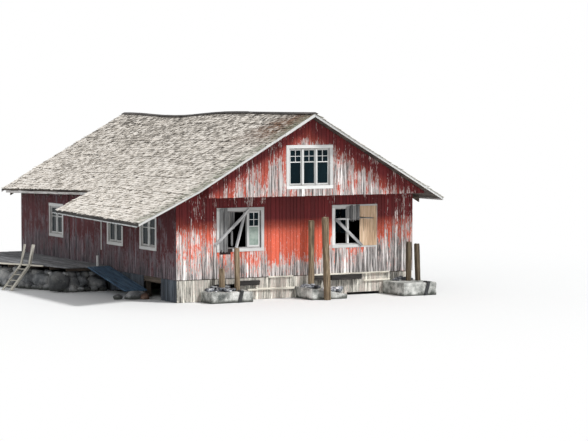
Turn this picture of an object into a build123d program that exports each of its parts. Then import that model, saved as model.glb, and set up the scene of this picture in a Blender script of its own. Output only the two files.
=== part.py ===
from build123d import *
import math
import os

# An old timber boathouse that stands half over the water: one rectangular house under a sagging
# shingled gable roof, with a jettied front gable, a lean-to canopy over the left side, a plank deck on
# a bank of stones, a gangway, a ladder, and mooring posts in three concrete piers.
# Millimetres, Z up, the front gable faces -Y, and the waterline is Z = 0.

# House box
house_width = 9200
house_depth = 14400
wall = 150
board_foot = 770
floor_top = 900
floor_thick = 50

# Roof: its top stands at the eave height over the side walls' outer faces
eave_height = 3724
roof_pitch = 30
roof_thick = 100
eave_reach = 500
left_eave_canopy_reach = 270
left_eave_back_reach = 650
front_verge_reach = 450
back_verge_reach = 500
rafter_depth = 140
rafter_width = 75
rafter_count = 13
rafter_end_gap = 330
ridge_board_width = 60
ridge_board_depth = 220
ridge_cap_width = 170
ridge_cap_thick = 25
ridge_sag = 150
ridge_end_drop = 90
sag_start = 5000

# Canopy over the front half of the left side
canopy_reach = 1950
canopy_back_reach = 1720
canopy_edge_height = 2820
canopy_length = 7700
canopy_kink_inset = 200
canopy_rafter_count = 7
canopy_rafter_depth = 100
gutter_radius = 70
gutter_thick = 6

# Jettied front gable
jetty_reach = 800
jetty_left_inset = 830
jetty_wall = 120
return_thick = 60
jetty_side_height = 48.5
joist_depth = 140
joist_width = 70
joist_count = 7
joist_inset = 1000
loft_floor_thick = 40
loft_edge_clearance = 60
tie_depth = 200
tie_width = 150

# Trim
verge_width = 110
verge_thick = 25
fascia_width = 140
fascia_thick = 25

# Windows: the casing lies on the wall, the lining sits in the hole
casing_width = 110
casing_thick = 28
lining_thick = 36
lining_depth = 110
mullion_width = 60
glass_thick = 6
glass_setback = 45
front_window_width = 1800
front_window_height = 1500
window_foot_drop = 1900
left_front_window_x = 2400
right_front_window_x = 6860
upper_window_x = 4650
upper_window_lift = 220
side_window_width = 1420
side_window_height = 1260
side_window_places = (2290, 5160, 10750)

# What closes the broken front windows
board_thick = 22
board_width = 105
casement_width = 440
transom_height = 60
transom_rise = 250
broken_sill = (1610, 2090)
sash_thick = 40
sash_bar = 45
plywood_width = 690
plywood_thick = 15
plywood_edge = 25

# Under the floor
sill_height = 200
sill_inset = 30
bearer_depth = 200
bearer_width = 160
pile_size = 160
pile_rows = (230, 2830, 5430)
pile_columns = 4
footing_thick = 400
footing_start = 5700
skirt_thick = 28
left_skirt_gap_start = 1280
left_skirt_gap_end = 2740
left_skirt_post_width = 160
left_skirt_foot_near = 270
left_skirt_foot_far = 60
front_hole_start = 1380
front_hole_end = 2180
front_hole_foot = 395
front_hole_top = 560
slot_start = 6560
slot_end = 7850
slot_height = 90

# Piers, mooring posts and fender beams in front
pier_bevel = 60
left_pier_x = (850, 2500)
left_pier_reach = 900
left_pier_height = 370
middle_pier_x = (4480, 5950)
middle_pier_reach = 1300
middle_pier_height = 400
middle_pier_low_side = 160
right_pier_x = (7980, 9350)
right_pier_reach = 1500
right_pier_height = 450
post_bevel = 18

# Deck, bank, ladder and gangway on the left
deck_top = 900
deck_board_thick = 40
deck_start = 5500
deck_front_reach = 1700
deck_turn_y = 7000
deck_turn_reach = 2000
deck_back_y = 10900
deck_back_reach = 3600
deck_wall_gap = 0.3
deck_joist_depth = 120
deck_joist_width = 80
deck_joist_count = 9
bank_batter_angle = 10
bank_spread = 60
ladder_width = 500
ladder_reach = 1000
ladder_bend = 90
ladder_top = 1600
ladder_top_lean = 200
ladder_rail = 55
ladder_rung = 40
ladder_rungs = 4
ladder_y = 7850
gangway_width = 840
gangway_wall_gap = 90
gangway_length = 3300
gangway_foot_height = 300
gangway_thick = 60
gangway_stone_size = 520
gangway_stone_height = 290
bollard_radius = 45
bollard_height = 380
strip_y = 6360
strip_width = 60
strip_thick = 45
strip_top = 2800
strip_foot = 1430
cap_seat = 0.3

os.makedirs("parts", exist_ok=True)

# Place of the house, so that the origin lies under the middle of the whole object
slope = math.tan(math.radians(roof_pitch))
cosine = math.cos(math.radians(roof_pitch))
bank_height = deck_top - deck_board_thick - deck_joist_depth
bank_batter = bank_height * math.tan(math.radians(bank_batter_angle))
left_extent = deck_back_reach + bank_spread
right_extent = eave_reach + fascia_thick
front_extent = right_pier_reach
back_extent = back_verge_reach + verge_thick
x_left = (left_extent - right_extent - house_width) / 2
y_front = (front_extent - back_extent - house_depth) / 2
x_right = x_left + house_width
y_back = y_front + house_depth
x_ridge = x_left + house_width / 2

# Roof heights
roof_drop = roof_thick / cosine
rafter_drop = rafter_depth / cosine
ridge_height = eave_height + slope * house_width / 2
plate_height = eave_height - roof_drop - rafter_drop + slope * wall
panel_foot = eave_height - roof_drop - jetty_side_height
window_foot = panel_foot - window_foot_drop
verge_y = y_front - jetty_reach - front_verge_reach
roof_end_y = y_back + back_verge_reach
canopy_end_y = verge_y + canopy_length
x_kink = x_left + canopy_kink_inset
kink_height = eave_height + slope * canopy_kink_inset
canopy_slope = (kink_height - canopy_edge_height) / (canopy_reach + canopy_kink_inset)
canopy_angle = math.atan(canopy_slope)
canopy_drop = roof_thick / math.cos(canopy_angle)


first_rafter_y = y_front + rafter_end_gap
last_rafter_y = y_back - rafter_end_gap
rafter_step = (last_rafter_y - first_rafter_y) / (rafter_count - 1)
rafter_places = [first_rafter_y + rafter_step * n for n in range(rafter_count)]
sag_y = y_front + sag_start
sag_stations = [verge_y, sag_y] + [y for y in rafter_places if y > sag_y] + [roof_end_y]
sag_stations = sorted(sag_stations + [canopy_end_y])


def sag_curve(y):
    """The smooth sag of the ridge, from nothing at its start to the settled back end."""
    share = max(0.0, y - sag_y) / (roof_end_y - sag_y)
    return ridge_sag * math.sin(math.pi * share) ** 2 + ridge_end_drop * share**2


def sag(y):
    """How far the ridge hangs below a straight line: straight between the stations."""
    for start, end in zip(sag_stations, sag_stations[1:]):
        if y <= end:
            share = (y - start) / (end - start)
            return sag_curve(start) + (sag_curve(end) - sag_curve(start)) * share
    return sag_curve(roof_end_y)


def roof_height(x, y):
    """Top of the main roof, which turns about the wall faces where the ridge sags."""
    fall = (slope * house_width / 2 - sag(y)) / (house_width / 2)
    return ridge_height - sag(y) - fall * abs(x - x_ridge)


def left_eave(y):
    """Where the left eave's edge lies: its reach grows from the canopy to the back."""
    share = (y - canopy_end_y) / (roof_end_y - canopy_end_y)
    return x_left - left_eave_canopy_reach - (left_eave_back_reach - left_eave_canopy_reach) * share


def canopy_edge(y):
    """Place and height of the canopy's lower edge, which comes closer to the wall at the back."""
    share = (y - verge_y) / canopy_length
    reach = canopy_reach + (canopy_back_reach - canopy_reach) * share
    return x_left - reach, kink_height - canopy_slope * (canopy_kink_inset + reach)


def lowest_roof(x, y, width):
    """Lowest point of the roof's top over a member of this width across the house."""
    return min(roof_height(x, y + share * width / 2) for share in (-1, 0, 1))


def xz_section(y):
    """A plane across the house, with x to the right and y up, facing the back."""
    return Plane(origin=(0, y, 0), x_dir=(1, 0, 0), z_dir=(0, -1, 0))


def slab_section(x_inner, x_outer, y, top_gap, depth, width=0):
    """A strip of roof between two places across the house, measured straight down."""
    high_in = lowest_roof(x_inner, y, width) - top_gap
    high_out = lowest_roof(x_outer, y, width) - top_gap
    return [(x_inner, high_in), (x_outer, high_out), (x_outer, high_out - depth), (x_inner, high_in - depth)]


def loft_strip(stations, x_outer):
    """Ruled loft of a roof strip from the ridge to an edge at each station along the house."""
    sections = []
    for y in stations:
        with BuildSketch(xz_section(y)) as section:
            Polygon(*slab_section(x_ridge, x_outer(y), y, 0, roof_drop), align=None)
        sections.append(section.sketch)
    for start, end in zip(sections, sections[1:]):
        loft([start, end], ruled=True)


def span_box(low, high, mode=Mode.ADD):
    """A box between two corners."""
    centre = [(a + b) / 2 for a, b in zip(low, high)]
    with Locations(tuple(centre)):
        Box(high[0] - low[0], high[1] - low[1], high[2] - low[2], mode=mode)


def save(piece, name):
    piece.part.label = name
    export_step(piece.part, f"parts/{name}.step")


# Walls with their window holes


def front_face(x, z, y=y_front):
    return Plane(origin=(x, y, z), x_dir=(1, 0, 0), z_dir=(0, -1, 0))


def back_face(x, z):
    return Plane(origin=(x, y_back, z), x_dir=(-1, 0, 0), z_dir=(0, 1, 0))


def left_face(y, z):
    return Plane(origin=(x_left, y, z), x_dir=(0, -1, 0), z_dir=(-1, 0, 0))


def right_face(y, z):
    return Plane(origin=(x_right, y, z), x_dir=(0, 1, 0), z_dir=(1, 0, 0))


front_z = window_foot + front_window_height / 2
upper_z = panel_foot + upper_window_lift + front_window_height / 2
side_z = window_foot + side_window_height / 2
left_front_place = front_face(x_left + left_front_window_x, front_z)
right_front_place = front_face(x_left + right_front_window_x, front_z)
upper_place = front_face(x_left + upper_window_x, upper_z, y_front - jetty_reach)
left_places = [left_face(y_front + y, side_z) for y in side_window_places]
right_places = [right_face(y_front + y, side_z) for y in side_window_places]
back_places = [
    back_face(x_left + left_front_window_x, front_z),
    back_face(x_left + right_front_window_x, front_z),
    back_face(x_left + upper_window_x, upper_z),
]
front_size = (front_window_width, front_window_height)
side_size = (side_window_width, side_window_height)


def cut_hole(place, size, depth):
    """Cut a window hole through a wall, inside the casing."""
    with BuildSketch(place) as hole:
        Rectangle(size[0] - 2 * casing_width, size[1] - 2 * casing_width)
    extrude(hole.sketch, amount=-depth, mode=Mode.SUBTRACT)


with BuildPart() as front_wall:
    with BuildSketch(xz_section(y_front)):
        with BuildLine():
            inset_top = roof_height(x_left + jetty_left_inset, y_front) - roof_drop
            Polyline(
                (x_left, board_foot),
                (x_right, board_foot),
                (x_right, panel_foot),
                (x_left + jetty_left_inset, panel_foot),
                (x_left + jetty_left_inset, inset_top),
                (x_left + canopy_kink_inset, kink_height - roof_drop),
                (x_left, eave_height - roof_drop),
                close=True,
            )
        make_face()
    extrude(amount=-wall)
    cut_hole(left_front_place, front_size, wall)
    cut_hole(right_front_place, front_size, wall)
save(front_wall, "front_wall")

with BuildPart() as back_wall:
    with BuildSketch(xz_section(y_back)):
        with BuildLine():
            eave_top = eave_height - roof_drop
            ridge_top = min(roof_height(x_ridge, y) for y in (y_back - wall, y_back)) - roof_drop
            Polyline(
                (x_left, board_foot),
                (x_right, board_foot),
                (x_right, eave_top),
                (x_ridge, ridge_top),
                (x_left, eave_top),
                close=True,
            )
        make_face()
    extrude(amount=wall)
    for place in back_places:
        cut_hole(place, front_size, wall)
save(back_wall, "back_wall")


def side_wall(x_low, places, name):
    with BuildPart() as piece:
        span_box((x_low, y_front + wall, board_foot), (x_low + wall, y_back - wall, plate_height))
        for place in places:
            cut_hole(place, side_size, wall)
    save(piece, name)


side_wall(x_left, left_places, "left_wall")
side_wall(x_right - wall, right_places, "right_wall")

panel_y = y_front - jetty_reach
panel_back = panel_y + jetty_wall
return_left = x_left + jetty_left_inset
return_ends = ((return_left, return_left + return_thick), (x_right, x_right - return_thick))
with BuildPart() as upper_front_wall:
    with BuildSketch(xz_section(panel_y)):
        with BuildLine():
            Polyline(
                (x_left + jetty_left_inset, panel_foot),
                (x_right, panel_foot),
                (x_right, roof_height(x_right, panel_y) - roof_drop),
                (x_ridge, ridge_height - roof_drop),
                (x_left + jetty_left_inset, roof_height(x_left + jetty_left_inset, panel_y) - roof_drop),
                close=True,
            )
        make_face()
    extrude(amount=-jetty_wall)
    cut_hole(upper_place, front_size, jetty_wall)
    for x_outer, x_inner in return_ends:
        with BuildSketch(xz_section(panel_back)):
            Polygon(
                (x_outer, panel_foot),
                (x_inner, panel_foot),
                (x_inner, roof_height(x_inner, panel_y) - roof_drop),
                (x_outer, roof_height(x_outer, panel_y) - roof_drop),
                align=None,
            )
        extrude(amount=-(jetty_reach - jetty_wall))
save(upper_front_wall, "upper_front_wall")

# Roof planes, ruled between stations so that they follow the sagging ridge
back_stations = [y for y in sag_stations if y >= canopy_end_y]
front_stations = [y for y in sag_stations if y <= canopy_end_y]

with BuildPart() as left_roof:
    loft_strip(front_stations, lambda y: x_kink)
    loft_strip(back_stations, left_eave)
save(left_roof, "left_roof")

with BuildPart() as right_roof:
    loft_strip(sag_stations, lambda y: x_right + eave_reach)
save(right_roof, "right_roof")

with BuildPart() as canopy_roof:
    for y in (verge_y, canopy_end_y):
        x_edge, z_edge = canopy_edge(y)
        with BuildSketch(xz_section(y)):
            Polygon(
                (x_kink, kink_height),
                (x_kink, kink_height - canopy_drop),
                (x_edge, z_edge - canopy_drop),
                (x_edge, z_edge),
                align=None,
            )
    loft(ruled=True)
save(canopy_roof, "canopy_roof")

with BuildPart() as ridge_cap:
    for start, end in zip(sag_stations, sag_stations[1:]):
        for y in (start, end):
            fall = (roof_height(x_ridge, y) - roof_height(x_ridge + ridge_cap_width, y))
            high = roof_height(x_ridge, y) + cap_seat
            with BuildSketch(xz_section(y)):
                Polygon(
                    (x_ridge - ridge_cap_width, high - fall),
                    (x_ridge, high),
                    (x_ridge + ridge_cap_width, high - fall),
                    (x_ridge + ridge_cap_width, high - fall + ridge_cap_thick),
                    (x_ridge, high + ridge_cap_thick),
                    (x_ridge - ridge_cap_width, high - fall + ridge_cap_thick),
                    align=None,
                )
        loft(ruled=True)
save(ridge_cap, "ridge_cap")

# Ridge board and rafters
inner_back = y_back - wall
board_stations = [panel_back] + [y for y in sag_stations if panel_back < y < inner_back] + [inner_back]
with BuildPart() as ridge_board:
    for start, end in zip(board_stations, board_stations[1:]):
        for y in (start, end):
            top = roof_height(x_ridge + ridge_board_width / 2, y) - roof_drop
            with BuildSketch(xz_section(y)):
                with Locations((x_ridge, top - ridge_board_depth / 2)):
                    Rectangle(ridge_board_width, ridge_board_depth)
        loft(ruled=True)
save(ridge_board, "ridge_board")


def rafter_set(side, name):
    """One rafter at each place, birdsmouthed over the side wall's top."""
    x_upper = x_ridge + side * ridge_board_width / 2
    x_face = x_ridge + side * house_width / 2
    with BuildPart() as piece:
        for y in rafter_places:
            if side > 0:
                x_lower = x_face + eave_reach - fascia_thick
            elif y < canopy_end_y + rafter_width:
                x_lower = x_face
            else:
                x_lower = left_eave(y - rafter_width / 2) + fascia_thick
            with BuildSketch(xz_section(y - rafter_width / 2)):
                top_gap = roof_drop + cap_seat
                section = slab_section(x_upper, x_lower, y, top_gap, rafter_drop, rafter_width)
                Polygon(*section, align=None)
            extrude(amount=-rafter_width)
        x_low, x_high = sorted((x_face, x_face - side * wall))
        span_box((x_low, y_front, board_foot), (x_high, y_back, plate_height), Mode.SUBTRACT)
    save(piece, name)


rafter_set(-1, "left_rafters")
rafter_set(1, "right_rafters")

canopy_step = (canopy_length - 2 * rafter_end_gap) / (canopy_rafter_count - 1)
canopy_rafter_drop = canopy_rafter_depth / math.cos(canopy_angle)
canopy_wall_top = kink_height - canopy_slope * canopy_kink_inset - canopy_drop
with BuildPart() as canopy_rafters:
    for n in range(canopy_rafter_count):
        y = verge_y + rafter_end_gap + canopy_step * n
        x_edge, z_edge = canopy_edge(y + rafter_width / 2)
        with BuildSketch(xz_section(y - rafter_width / 2)):
            x_tail = x_edge + fascia_thick
            tail_top = z_edge - canopy_drop + canopy_slope * fascia_thick
            Polygon(
                (x_left, canopy_wall_top),
                (x_tail, tail_top),
                (x_tail, tail_top - canopy_rafter_drop),
                (x_left, canopy_wall_top - canopy_rafter_drop),
                align=None,
            )
        extrude(amount=-rafter_width)
save(canopy_rafters, "canopy_rafters")


# Verge boards, fascias and the canopy gutter


def verge_board(start, end, y):
    """A sloping board on the end of a roof strip, from one point of its top edge to the other."""
    (x_a, z_a), (x_b, z_b) = start, end
    drop = verge_width / math.cos(math.atan2(abs(z_b - z_a), abs(x_b - x_a)))
    with BuildSketch(xz_section(y)) as board:
        Polygon((x_a, z_a), (x_b, z_b), (x_b, z_b - drop), (x_a, z_a - drop), align=None)
    extrude(board.sketch, amount=-verge_thick)


def roof_point(x, y):
    return (x, roof_height(x, y))


front_board_y = verge_y - verge_thick
ridge_point = roof_point(x_ridge, verge_y)
with BuildPart() as left_verge_board:
    verge_board(roof_point(x_kink, verge_y), ridge_point, front_board_y)
save(left_verge_board, "left_verge_board")

with BuildPart() as right_verge_board:
    verge_board(ridge_point, roof_point(x_right + eave_reach, verge_y), front_board_y)
save(right_verge_board, "right_verge_board")

x_join = left_eave(canopy_end_y + verge_thick)
wall_join = (x_join, kink_height - canopy_slope * (x_kink - x_join))
with BuildPart() as canopy_verge_boards:
    verge_board(canopy_edge(verge_y), (x_kink, kink_height), front_board_y)
    verge_board(canopy_edge(canopy_end_y), wall_join, canopy_end_y)
save(canopy_verge_boards, "canopy_verge_boards")

with BuildPart() as back_verge_board:
    back_points = [roof_point(left_eave(roof_end_y), roof_end_y), roof_point(x_ridge, roof_end_y)]
    back_points.append(roof_point(x_right + eave_reach, roof_end_y))
    back_drop = verge_width / cosine
    with BuildSketch(xz_section(roof_end_y)):
        lower = [(x, z - back_drop) for x, z in reversed(back_points)]
        Polygon(*back_points, *lower, align=None)
    extrude(amount=-verge_thick)
save(back_verge_board, "back_verge_board")


def fascia(side, corners, stations):
    """A board outside a lower roof edge, from its top corner at one station to the other's."""
    sections = []
    for (x, z), y in zip(corners, stations):
        with BuildSketch(xz_section(y)) as section:
            with Locations((x + side * fascia_thick / 2, z - fascia_width / 2)):
                Rectangle(fascia_thick, fascia_width)
        sections.append(section.sketch)
    loft(sections, ruled=True)


right_corner = (x_right + eave_reach, eave_height - slope * eave_reach)
left_stations = (canopy_end_y + verge_thick, roof_end_y)
with BuildPart() as eave_fascias:
    fascia(1, (right_corner, right_corner), (verge_y, roof_end_y))
    fascia(-1, [roof_point(left_eave(y), y) for y in left_stations], left_stations)
save(eave_fascias, "eave_fascias")

canopy_stations = (verge_y, canopy_end_y)
canopy_corners = [canopy_edge(y) for y in canopy_stations]
with BuildPart() as canopy_fascia:
    fascia(-1, canopy_corners, canopy_stations)
save(canopy_fascia, "canopy_fascia")

with BuildPart() as canopy_gutter:
    (x_edge, z_edge), (x_edge_back, z_edge_back) = canopy_corners
    gutter_run = (x_edge_back - x_edge, canopy_length, z_edge_back - z_edge)
    gutter_x = x_edge - fascia_thick - gutter_radius - cap_seat
    gutter_z = z_edge - fascia_width / 2
    with BuildSketch(xz_section(verge_y)) as gutter_section:
        with Locations((gutter_x, gutter_z)):
            Circle(gutter_radius)
            Circle(gutter_radius - gutter_thick, mode=Mode.SUBTRACT)
        with Locations((gutter_x, gutter_z + gutter_radius / 2)):
            Rectangle(2 * gutter_radius, gutter_radius, mode=Mode.SUBTRACT)
    extrude(gutter_section.sketch, amount=math.hypot(*gutter_run), dir=gutter_run)
save(canopy_gutter, "canopy_gutter")

# Tie beams, loft joists and loft floor
joist_foot = panel_foot
with BuildPart() as tie_beams:
    for bay in range(1, rafter_count - 1, 2):
        y = rafter_places[bay] + rafter_step / 2
        low = (x_left + wall, y - tie_width / 2, joist_foot - tie_depth)
        span_box(low, (x_right - wall, y + tie_width / 2, joist_foot))
save(tie_beams, "tie_beams")

joist_step = (house_width - 2 * joist_inset) / (joist_count - 1)
with BuildPart() as loft_joists:
    for n in range(joist_count):
        x = x_left + joist_inset + joist_step * n
        low = (x - joist_width / 2, panel_back, joist_foot)
        span_box(low, (x + joist_width / 2, inner_back, joist_foot + joist_depth))
save(loft_joists, "loft_joists")

loft_top = joist_foot + joist_depth + loft_floor_thick
loft_inset = (loft_top - plate_height) / slope + wall + loft_edge_clearance
with BuildPart() as loft_floor:
    low = (x_left + loft_inset, y_front + wall, joist_foot + joist_depth)
    span_box(low, (x_right - loft_inset, inner_back, loft_top))
    low = (return_left + return_thick, panel_back, joist_foot + joist_depth)
    span_box(low, (x_right - loft_inset, y_front + wall, loft_top))
save(loft_floor, "loft_floor")


# Window frames: casing on the wall, lining and mullions in the hole


def window_frame(place, size, mullions):
    """Casing ring, lining ring and mullions at the given places across the hole."""
    hole = (size[0] - 2 * casing_width, size[1] - 2 * casing_width)
    clear = (hole[0] - 2 * lining_thick, hole[1] - 2 * lining_thick)
    with BuildSketch(place) as casing:
        Rectangle(*size)
        Rectangle(*clear, mode=Mode.SUBTRACT)
    extrude(casing.sketch, amount=casing_thick)
    with BuildSketch(place) as lining:
        Rectangle(*hole)
        Rectangle(*clear, mode=Mode.SUBTRACT)
        for across in mullions:
            with Locations((across, 0)):
                Rectangle(mullion_width, clear[1])
    extrude(lining.sketch, amount=-lining_depth)


front_hole_width = front_window_width - 2 * casing_width
third = front_hole_width / 3
with BuildPart() as upper_window:
    window_frame(upper_place, front_size, (-third / 2, third / 2))
save(upper_window, "upper_window_frame")

casement_mullion = front_hole_width / 2 - lining_thick - casement_width - mullion_width / 2
front_clear_width = front_hole_width - 2 * lining_thick
with BuildPart() as front_windows:
    window_frame(left_front_place, front_size, (casement_mullion,))
    low = (x_left + broken_sill[0], y_front - casing_thick, window_foot)
    high = (x_left + broken_sill[1], y_front, window_foot + casing_width)
    span_box(low, high, Mode.SUBTRACT)
    window_frame(right_front_place, front_size, (-third / 2,))
    with BuildSketch(right_front_place):
        with Locations((0, transom_rise)):
            Rectangle(front_clear_width, transom_height)
    extrude(amount=-lining_depth)
save(front_windows, "front_window_frames")

with BuildPart() as side_windows:
    for place in left_places + right_places:
        window_frame(place, side_size, (0,))
save(side_windows, "side_window_frames")

with BuildPart() as back_windows:
    for place in back_places:
        window_frame(place, front_size, (-third / 2, third / 2))
save(back_windows, "back_window_frames")


def pane(place, size, start, end):
    """One pane between two places across a window's clear opening."""
    clear_height = size[1] - 2 * casing_width - 2 * lining_thick
    with BuildSketch(place.offset(-glass_setback)) as sheet:
        with Locations(((start + end) / 2, 0)):
            Rectangle(end - start, clear_height)
    extrude(sheet.sketch, amount=-glass_thick)


def panes(place, size, mullions):
    """Panes that fill a window between its lining and its mullions."""
    half = size[0] / 2 - casing_width - lining_thick
    edges = [-half]
    for across in mullions:
        edges += [across - mullion_width / 2, across + mullion_width / 2]
    edges.append(half)
    for start, end in zip(edges[::2], edges[1::2]):
        pane(place, size, start, end)


with BuildPart() as upper_glass:
    panes(upper_place, front_size, (-third / 2, third / 2))
save(upper_glass, "upper_window_glass")

with BuildPart() as side_glass:
    for place in left_places + right_places:
        panes(place, side_size, (0,))
save(side_glass, "side_window_glass")

with BuildPart() as back_glass:
    for place in back_places:
        panes(place, front_size, (-third / 2, third / 2))
save(back_glass, "back_window_glass")

# The one sash left in the left front window, and its pane
clear_height = front_window_height - 2 * casing_width - 2 * lining_thick
sash_place = left_front_place.offset(-glass_setback)
sash_x = casement_mullion + mullion_width / 2 + casement_width / 2
with BuildPart() as left_casement:
    with BuildSketch(sash_place):
        with Locations((sash_x, 0)):
            Rectangle(casement_width, clear_height)
            Rectangle(casement_width - 2 * sash_bar, clear_height - 2 * sash_bar, mode=Mode.SUBTRACT)
    extrude(amount=-sash_thick)
save(left_casement, "left_casement")

with BuildPart() as casement_glass:
    with BuildSketch(sash_place.offset(-(sash_thick - glass_thick) / 2)):
        with Locations((sash_x, 0)):
            Rectangle(casement_width - 2 * sash_bar, clear_height - 2 * sash_bar)
    extrude(amount=-glass_thick)
save(casement_glass, "casement_glass")


def lath(place, start, end, width, lift):
    """A board on the outside of a casing between two points, in the window's own plane."""
    (x_a, z_a), (x_b, z_b) = start, end
    length = math.hypot(x_b - x_a, z_b - z_a)
    turn = math.degrees(math.atan2(z_b - z_a, x_b - x_a))
    with BuildSketch(place.offset(casing_thick + lift + cap_seat)) as board:
        with Locations(Location(((x_a + x_b) / 2, (z_a + z_b) / 2), turn)):
            Rectangle(length, width)
    extrude(board.sketch, amount=board_thick)


def upright(place, start, end, foot, top, lift):
    """An upright board between two places across a window, its back at this lift off the wall."""
    with BuildSketch(place.offset(lift)) as board:
        with Locations(((start + end) / 2, (foot + top) / 2)):
            Rectangle(end - start, top - foot)
    extrude(board.sketch, amount=board_thick)


# Start, end, foot and top of the upright boards, in from each window's middle
left_outer_boards = ((-798, -660, -752, 742), (-638, -502, -792, 748))
left_inner_boards = ((-480, -352, -90), (-332, -186, -30), (-332, -262, -580))
right_hanging_boards = (
    (-332, -226, 246, 702),
    (-208, -98, 186, 738),
    (-84, 34, 158, 724),
    (48, 182, 196, 744),
)
outer_lift = casing_thick + cap_seat
inner_lift = -glass_setback - board_thick
with BuildPart() as window_boards:
    lath(left_front_place, (-990, -510), (320, 670), board_width, board_thick + cap_seat)
    lath(left_front_place, (160, 590), (-180, -620), board_width, 0)
    lath(right_front_place, (-790, 270), (270, -690), board_width, plywood_thick + cap_seat)
    slat_top = front_window_height / 2 - casing_width - lining_thick
    for start, end, foot, top in left_outer_boards:
        upright(left_front_place, start, end, foot, top, outer_lift)
    for start, end, foot in left_inner_boards:
        upright(left_front_place, start, end, foot, slat_top, inner_lift)
    for start, end, foot, top in right_hanging_boards:
        upright(right_front_place, start, end, foot, top, outer_lift)
save(window_boards, "window_boards")

with BuildPart() as plywood_panel:
    plywood_right = front_window_width / 2 - plywood_edge
    with BuildSketch(right_front_place.offset(casing_thick + cap_seat)):
        with Locations((plywood_right - plywood_width / 2, 0)):
            Rectangle(plywood_width, front_window_height - casing_width)
    extrude(amount=plywood_thick)
save(plywood_panel, "plywood_panel")

# Floor, bearers, sills, piles and footing
floor_foot = floor_top - floor_thick
bearer_foot = floor_foot - bearer_depth
with BuildPart() as floor_boards:
    low = (x_left + wall, y_front + wall, floor_foot)
    span_box(low, (x_right - wall, y_back - wall, floor_top))
save(floor_boards, "floor_boards")

row_step = pile_rows[1] - pile_rows[0]
bearer_rows = list(pile_rows)
while bearer_rows[-1] + row_step < house_depth - footing_thick:
    bearer_rows.append(bearer_rows[-1] + row_step)
with BuildPart() as floor_bearers:
    for row in bearer_rows:
        y = y_front + row
        low = (x_left + wall, y - bearer_width / 2, bearer_foot)
        span_box(low, (x_right - wall, y + bearer_width / 2, floor_foot))
save(floor_bearers, "floor_bearers")

sill_foot = board_foot - sill_height
with BuildPart() as sills:
    outer_low = (x_left + sill_inset, y_front + sill_inset, sill_foot)
    outer_high = (x_right - sill_inset, y_back - sill_inset, board_foot)
    span_box(outer_low, outer_high)
    inner_low = (x_left + wall, y_front + wall, sill_foot)
    inner_high = (x_right - wall, y_back - wall, board_foot)
    span_box(inner_low, inner_high, Mode.SUBTRACT)
save(sills, "ground_sills")

pile_span = house_width - 2 * wall - pile_size
pile_step = pile_span / (pile_columns - 1)
with BuildPart() as piles:
    for row in pile_rows:
        for n in range(pile_columns):
            x = x_left + wall + pile_size / 2 + pile_step * n
            y = y_front + row
            low = (x - pile_size / 2, y - pile_size / 2, 0)
            span_box(low, (x + pile_size / 2, y + pile_size / 2, bearer_foot))
save(piles, "piles")

footing_top = sill_foot
with BuildPart() as stone_footing:
    low = (x_left + sill_inset, y_front + footing_start, 0)
    high = (x_right - sill_inset, y_back - sill_inset, footing_top)
    span_box(low, high)
    low = (x_left + footing_thick, y_front + footing_start, 0)
    high = (x_right - footing_thick, y_back - footing_thick, footing_top)
    span_box(low, high, Mode.SUBTRACT)
save(stone_footing, "stone_footing")

# Skirt boards below the wall boards
skirt_inset = sill_inset - skirt_thick
with BuildPart() as front_skirt:
    low = (x_left + skirt_inset, y_front + skirt_inset, 0)
    span_box(low, (x_right - skirt_inset, y_front + sill_inset, board_foot))
    low = (x_left + front_hole_start, y_front, front_hole_foot)
    span_box(low, (x_left + front_hole_end, y_front + sill_inset, front_hole_top), Mode.SUBTRACT)
    low = (x_left + slot_start, y_front, 0)
    span_box(low, (x_left + slot_end, y_front + sill_inset, slot_height), Mode.SUBTRACT)
save(front_skirt, "front_skirt")

with BuildPart() as side_skirts:
    side_plane = Plane(origin=(x_left + skirt_inset, 0, 0), x_dir=(0, 1, 0), z_dir=(1, 0, 0))
    with BuildSketch(side_plane):
        Polygon(
            (y_front + sill_inset, 0),
            (y_front + left_skirt_gap_start, 0),
            (y_front + left_skirt_gap_start, board_foot),
            (y_front + sill_inset, board_foot),
            align=None,
        )
        Polygon(
            (y_front + left_skirt_gap_end, 0),
            (y_front + left_skirt_gap_end + left_skirt_post_width, 0),
            (y_front + left_skirt_gap_end + left_skirt_post_width, board_foot),
            (y_front + left_skirt_gap_end, board_foot),
            align=None,
        )
        Polygon(
            (y_front + left_skirt_gap_end, left_skirt_foot_near),
            (y_front + footing_start, left_skirt_foot_far),
            (y_front + footing_start, board_foot),
            (y_front + left_skirt_gap_end, board_foot),
            align=None,
        )
    extrude(amount=skirt_thick)
    low = (x_right - sill_inset, y_front + sill_inset, 0)
    span_box(low, (x_right - skirt_inset, y_front + footing_start, board_foot))
save(side_skirts, "side_skirts")


# Concrete piers


def pier(x_range, reach, near_height, far_height, name):
    """A block in front of the wall whose top may fall to one side."""
    x_low, x_high = (x_left + x for x in x_range)
    with BuildPart() as piece:
        with BuildSketch(xz_section(y_front - reach)):
            Polygon((x_low, 0), (x_high, 0), (x_high, far_height), (x_low, near_height), align=None)
        extrude(amount=-(reach + skirt_inset - cap_seat))
        chamfer(piece.edges().filter_by(Axis.Z), pier_bevel)
    save(piece, name)


pier(left_pier_x, left_pier_reach, left_pier_height, left_pier_height, "left_pier")
pier(middle_pier_x, middle_pier_reach, middle_pier_height, middle_pier_low_side, "middle_pier")
pier(right_pier_x, right_pier_reach, right_pier_height, right_pier_height, "right_pier")


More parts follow.
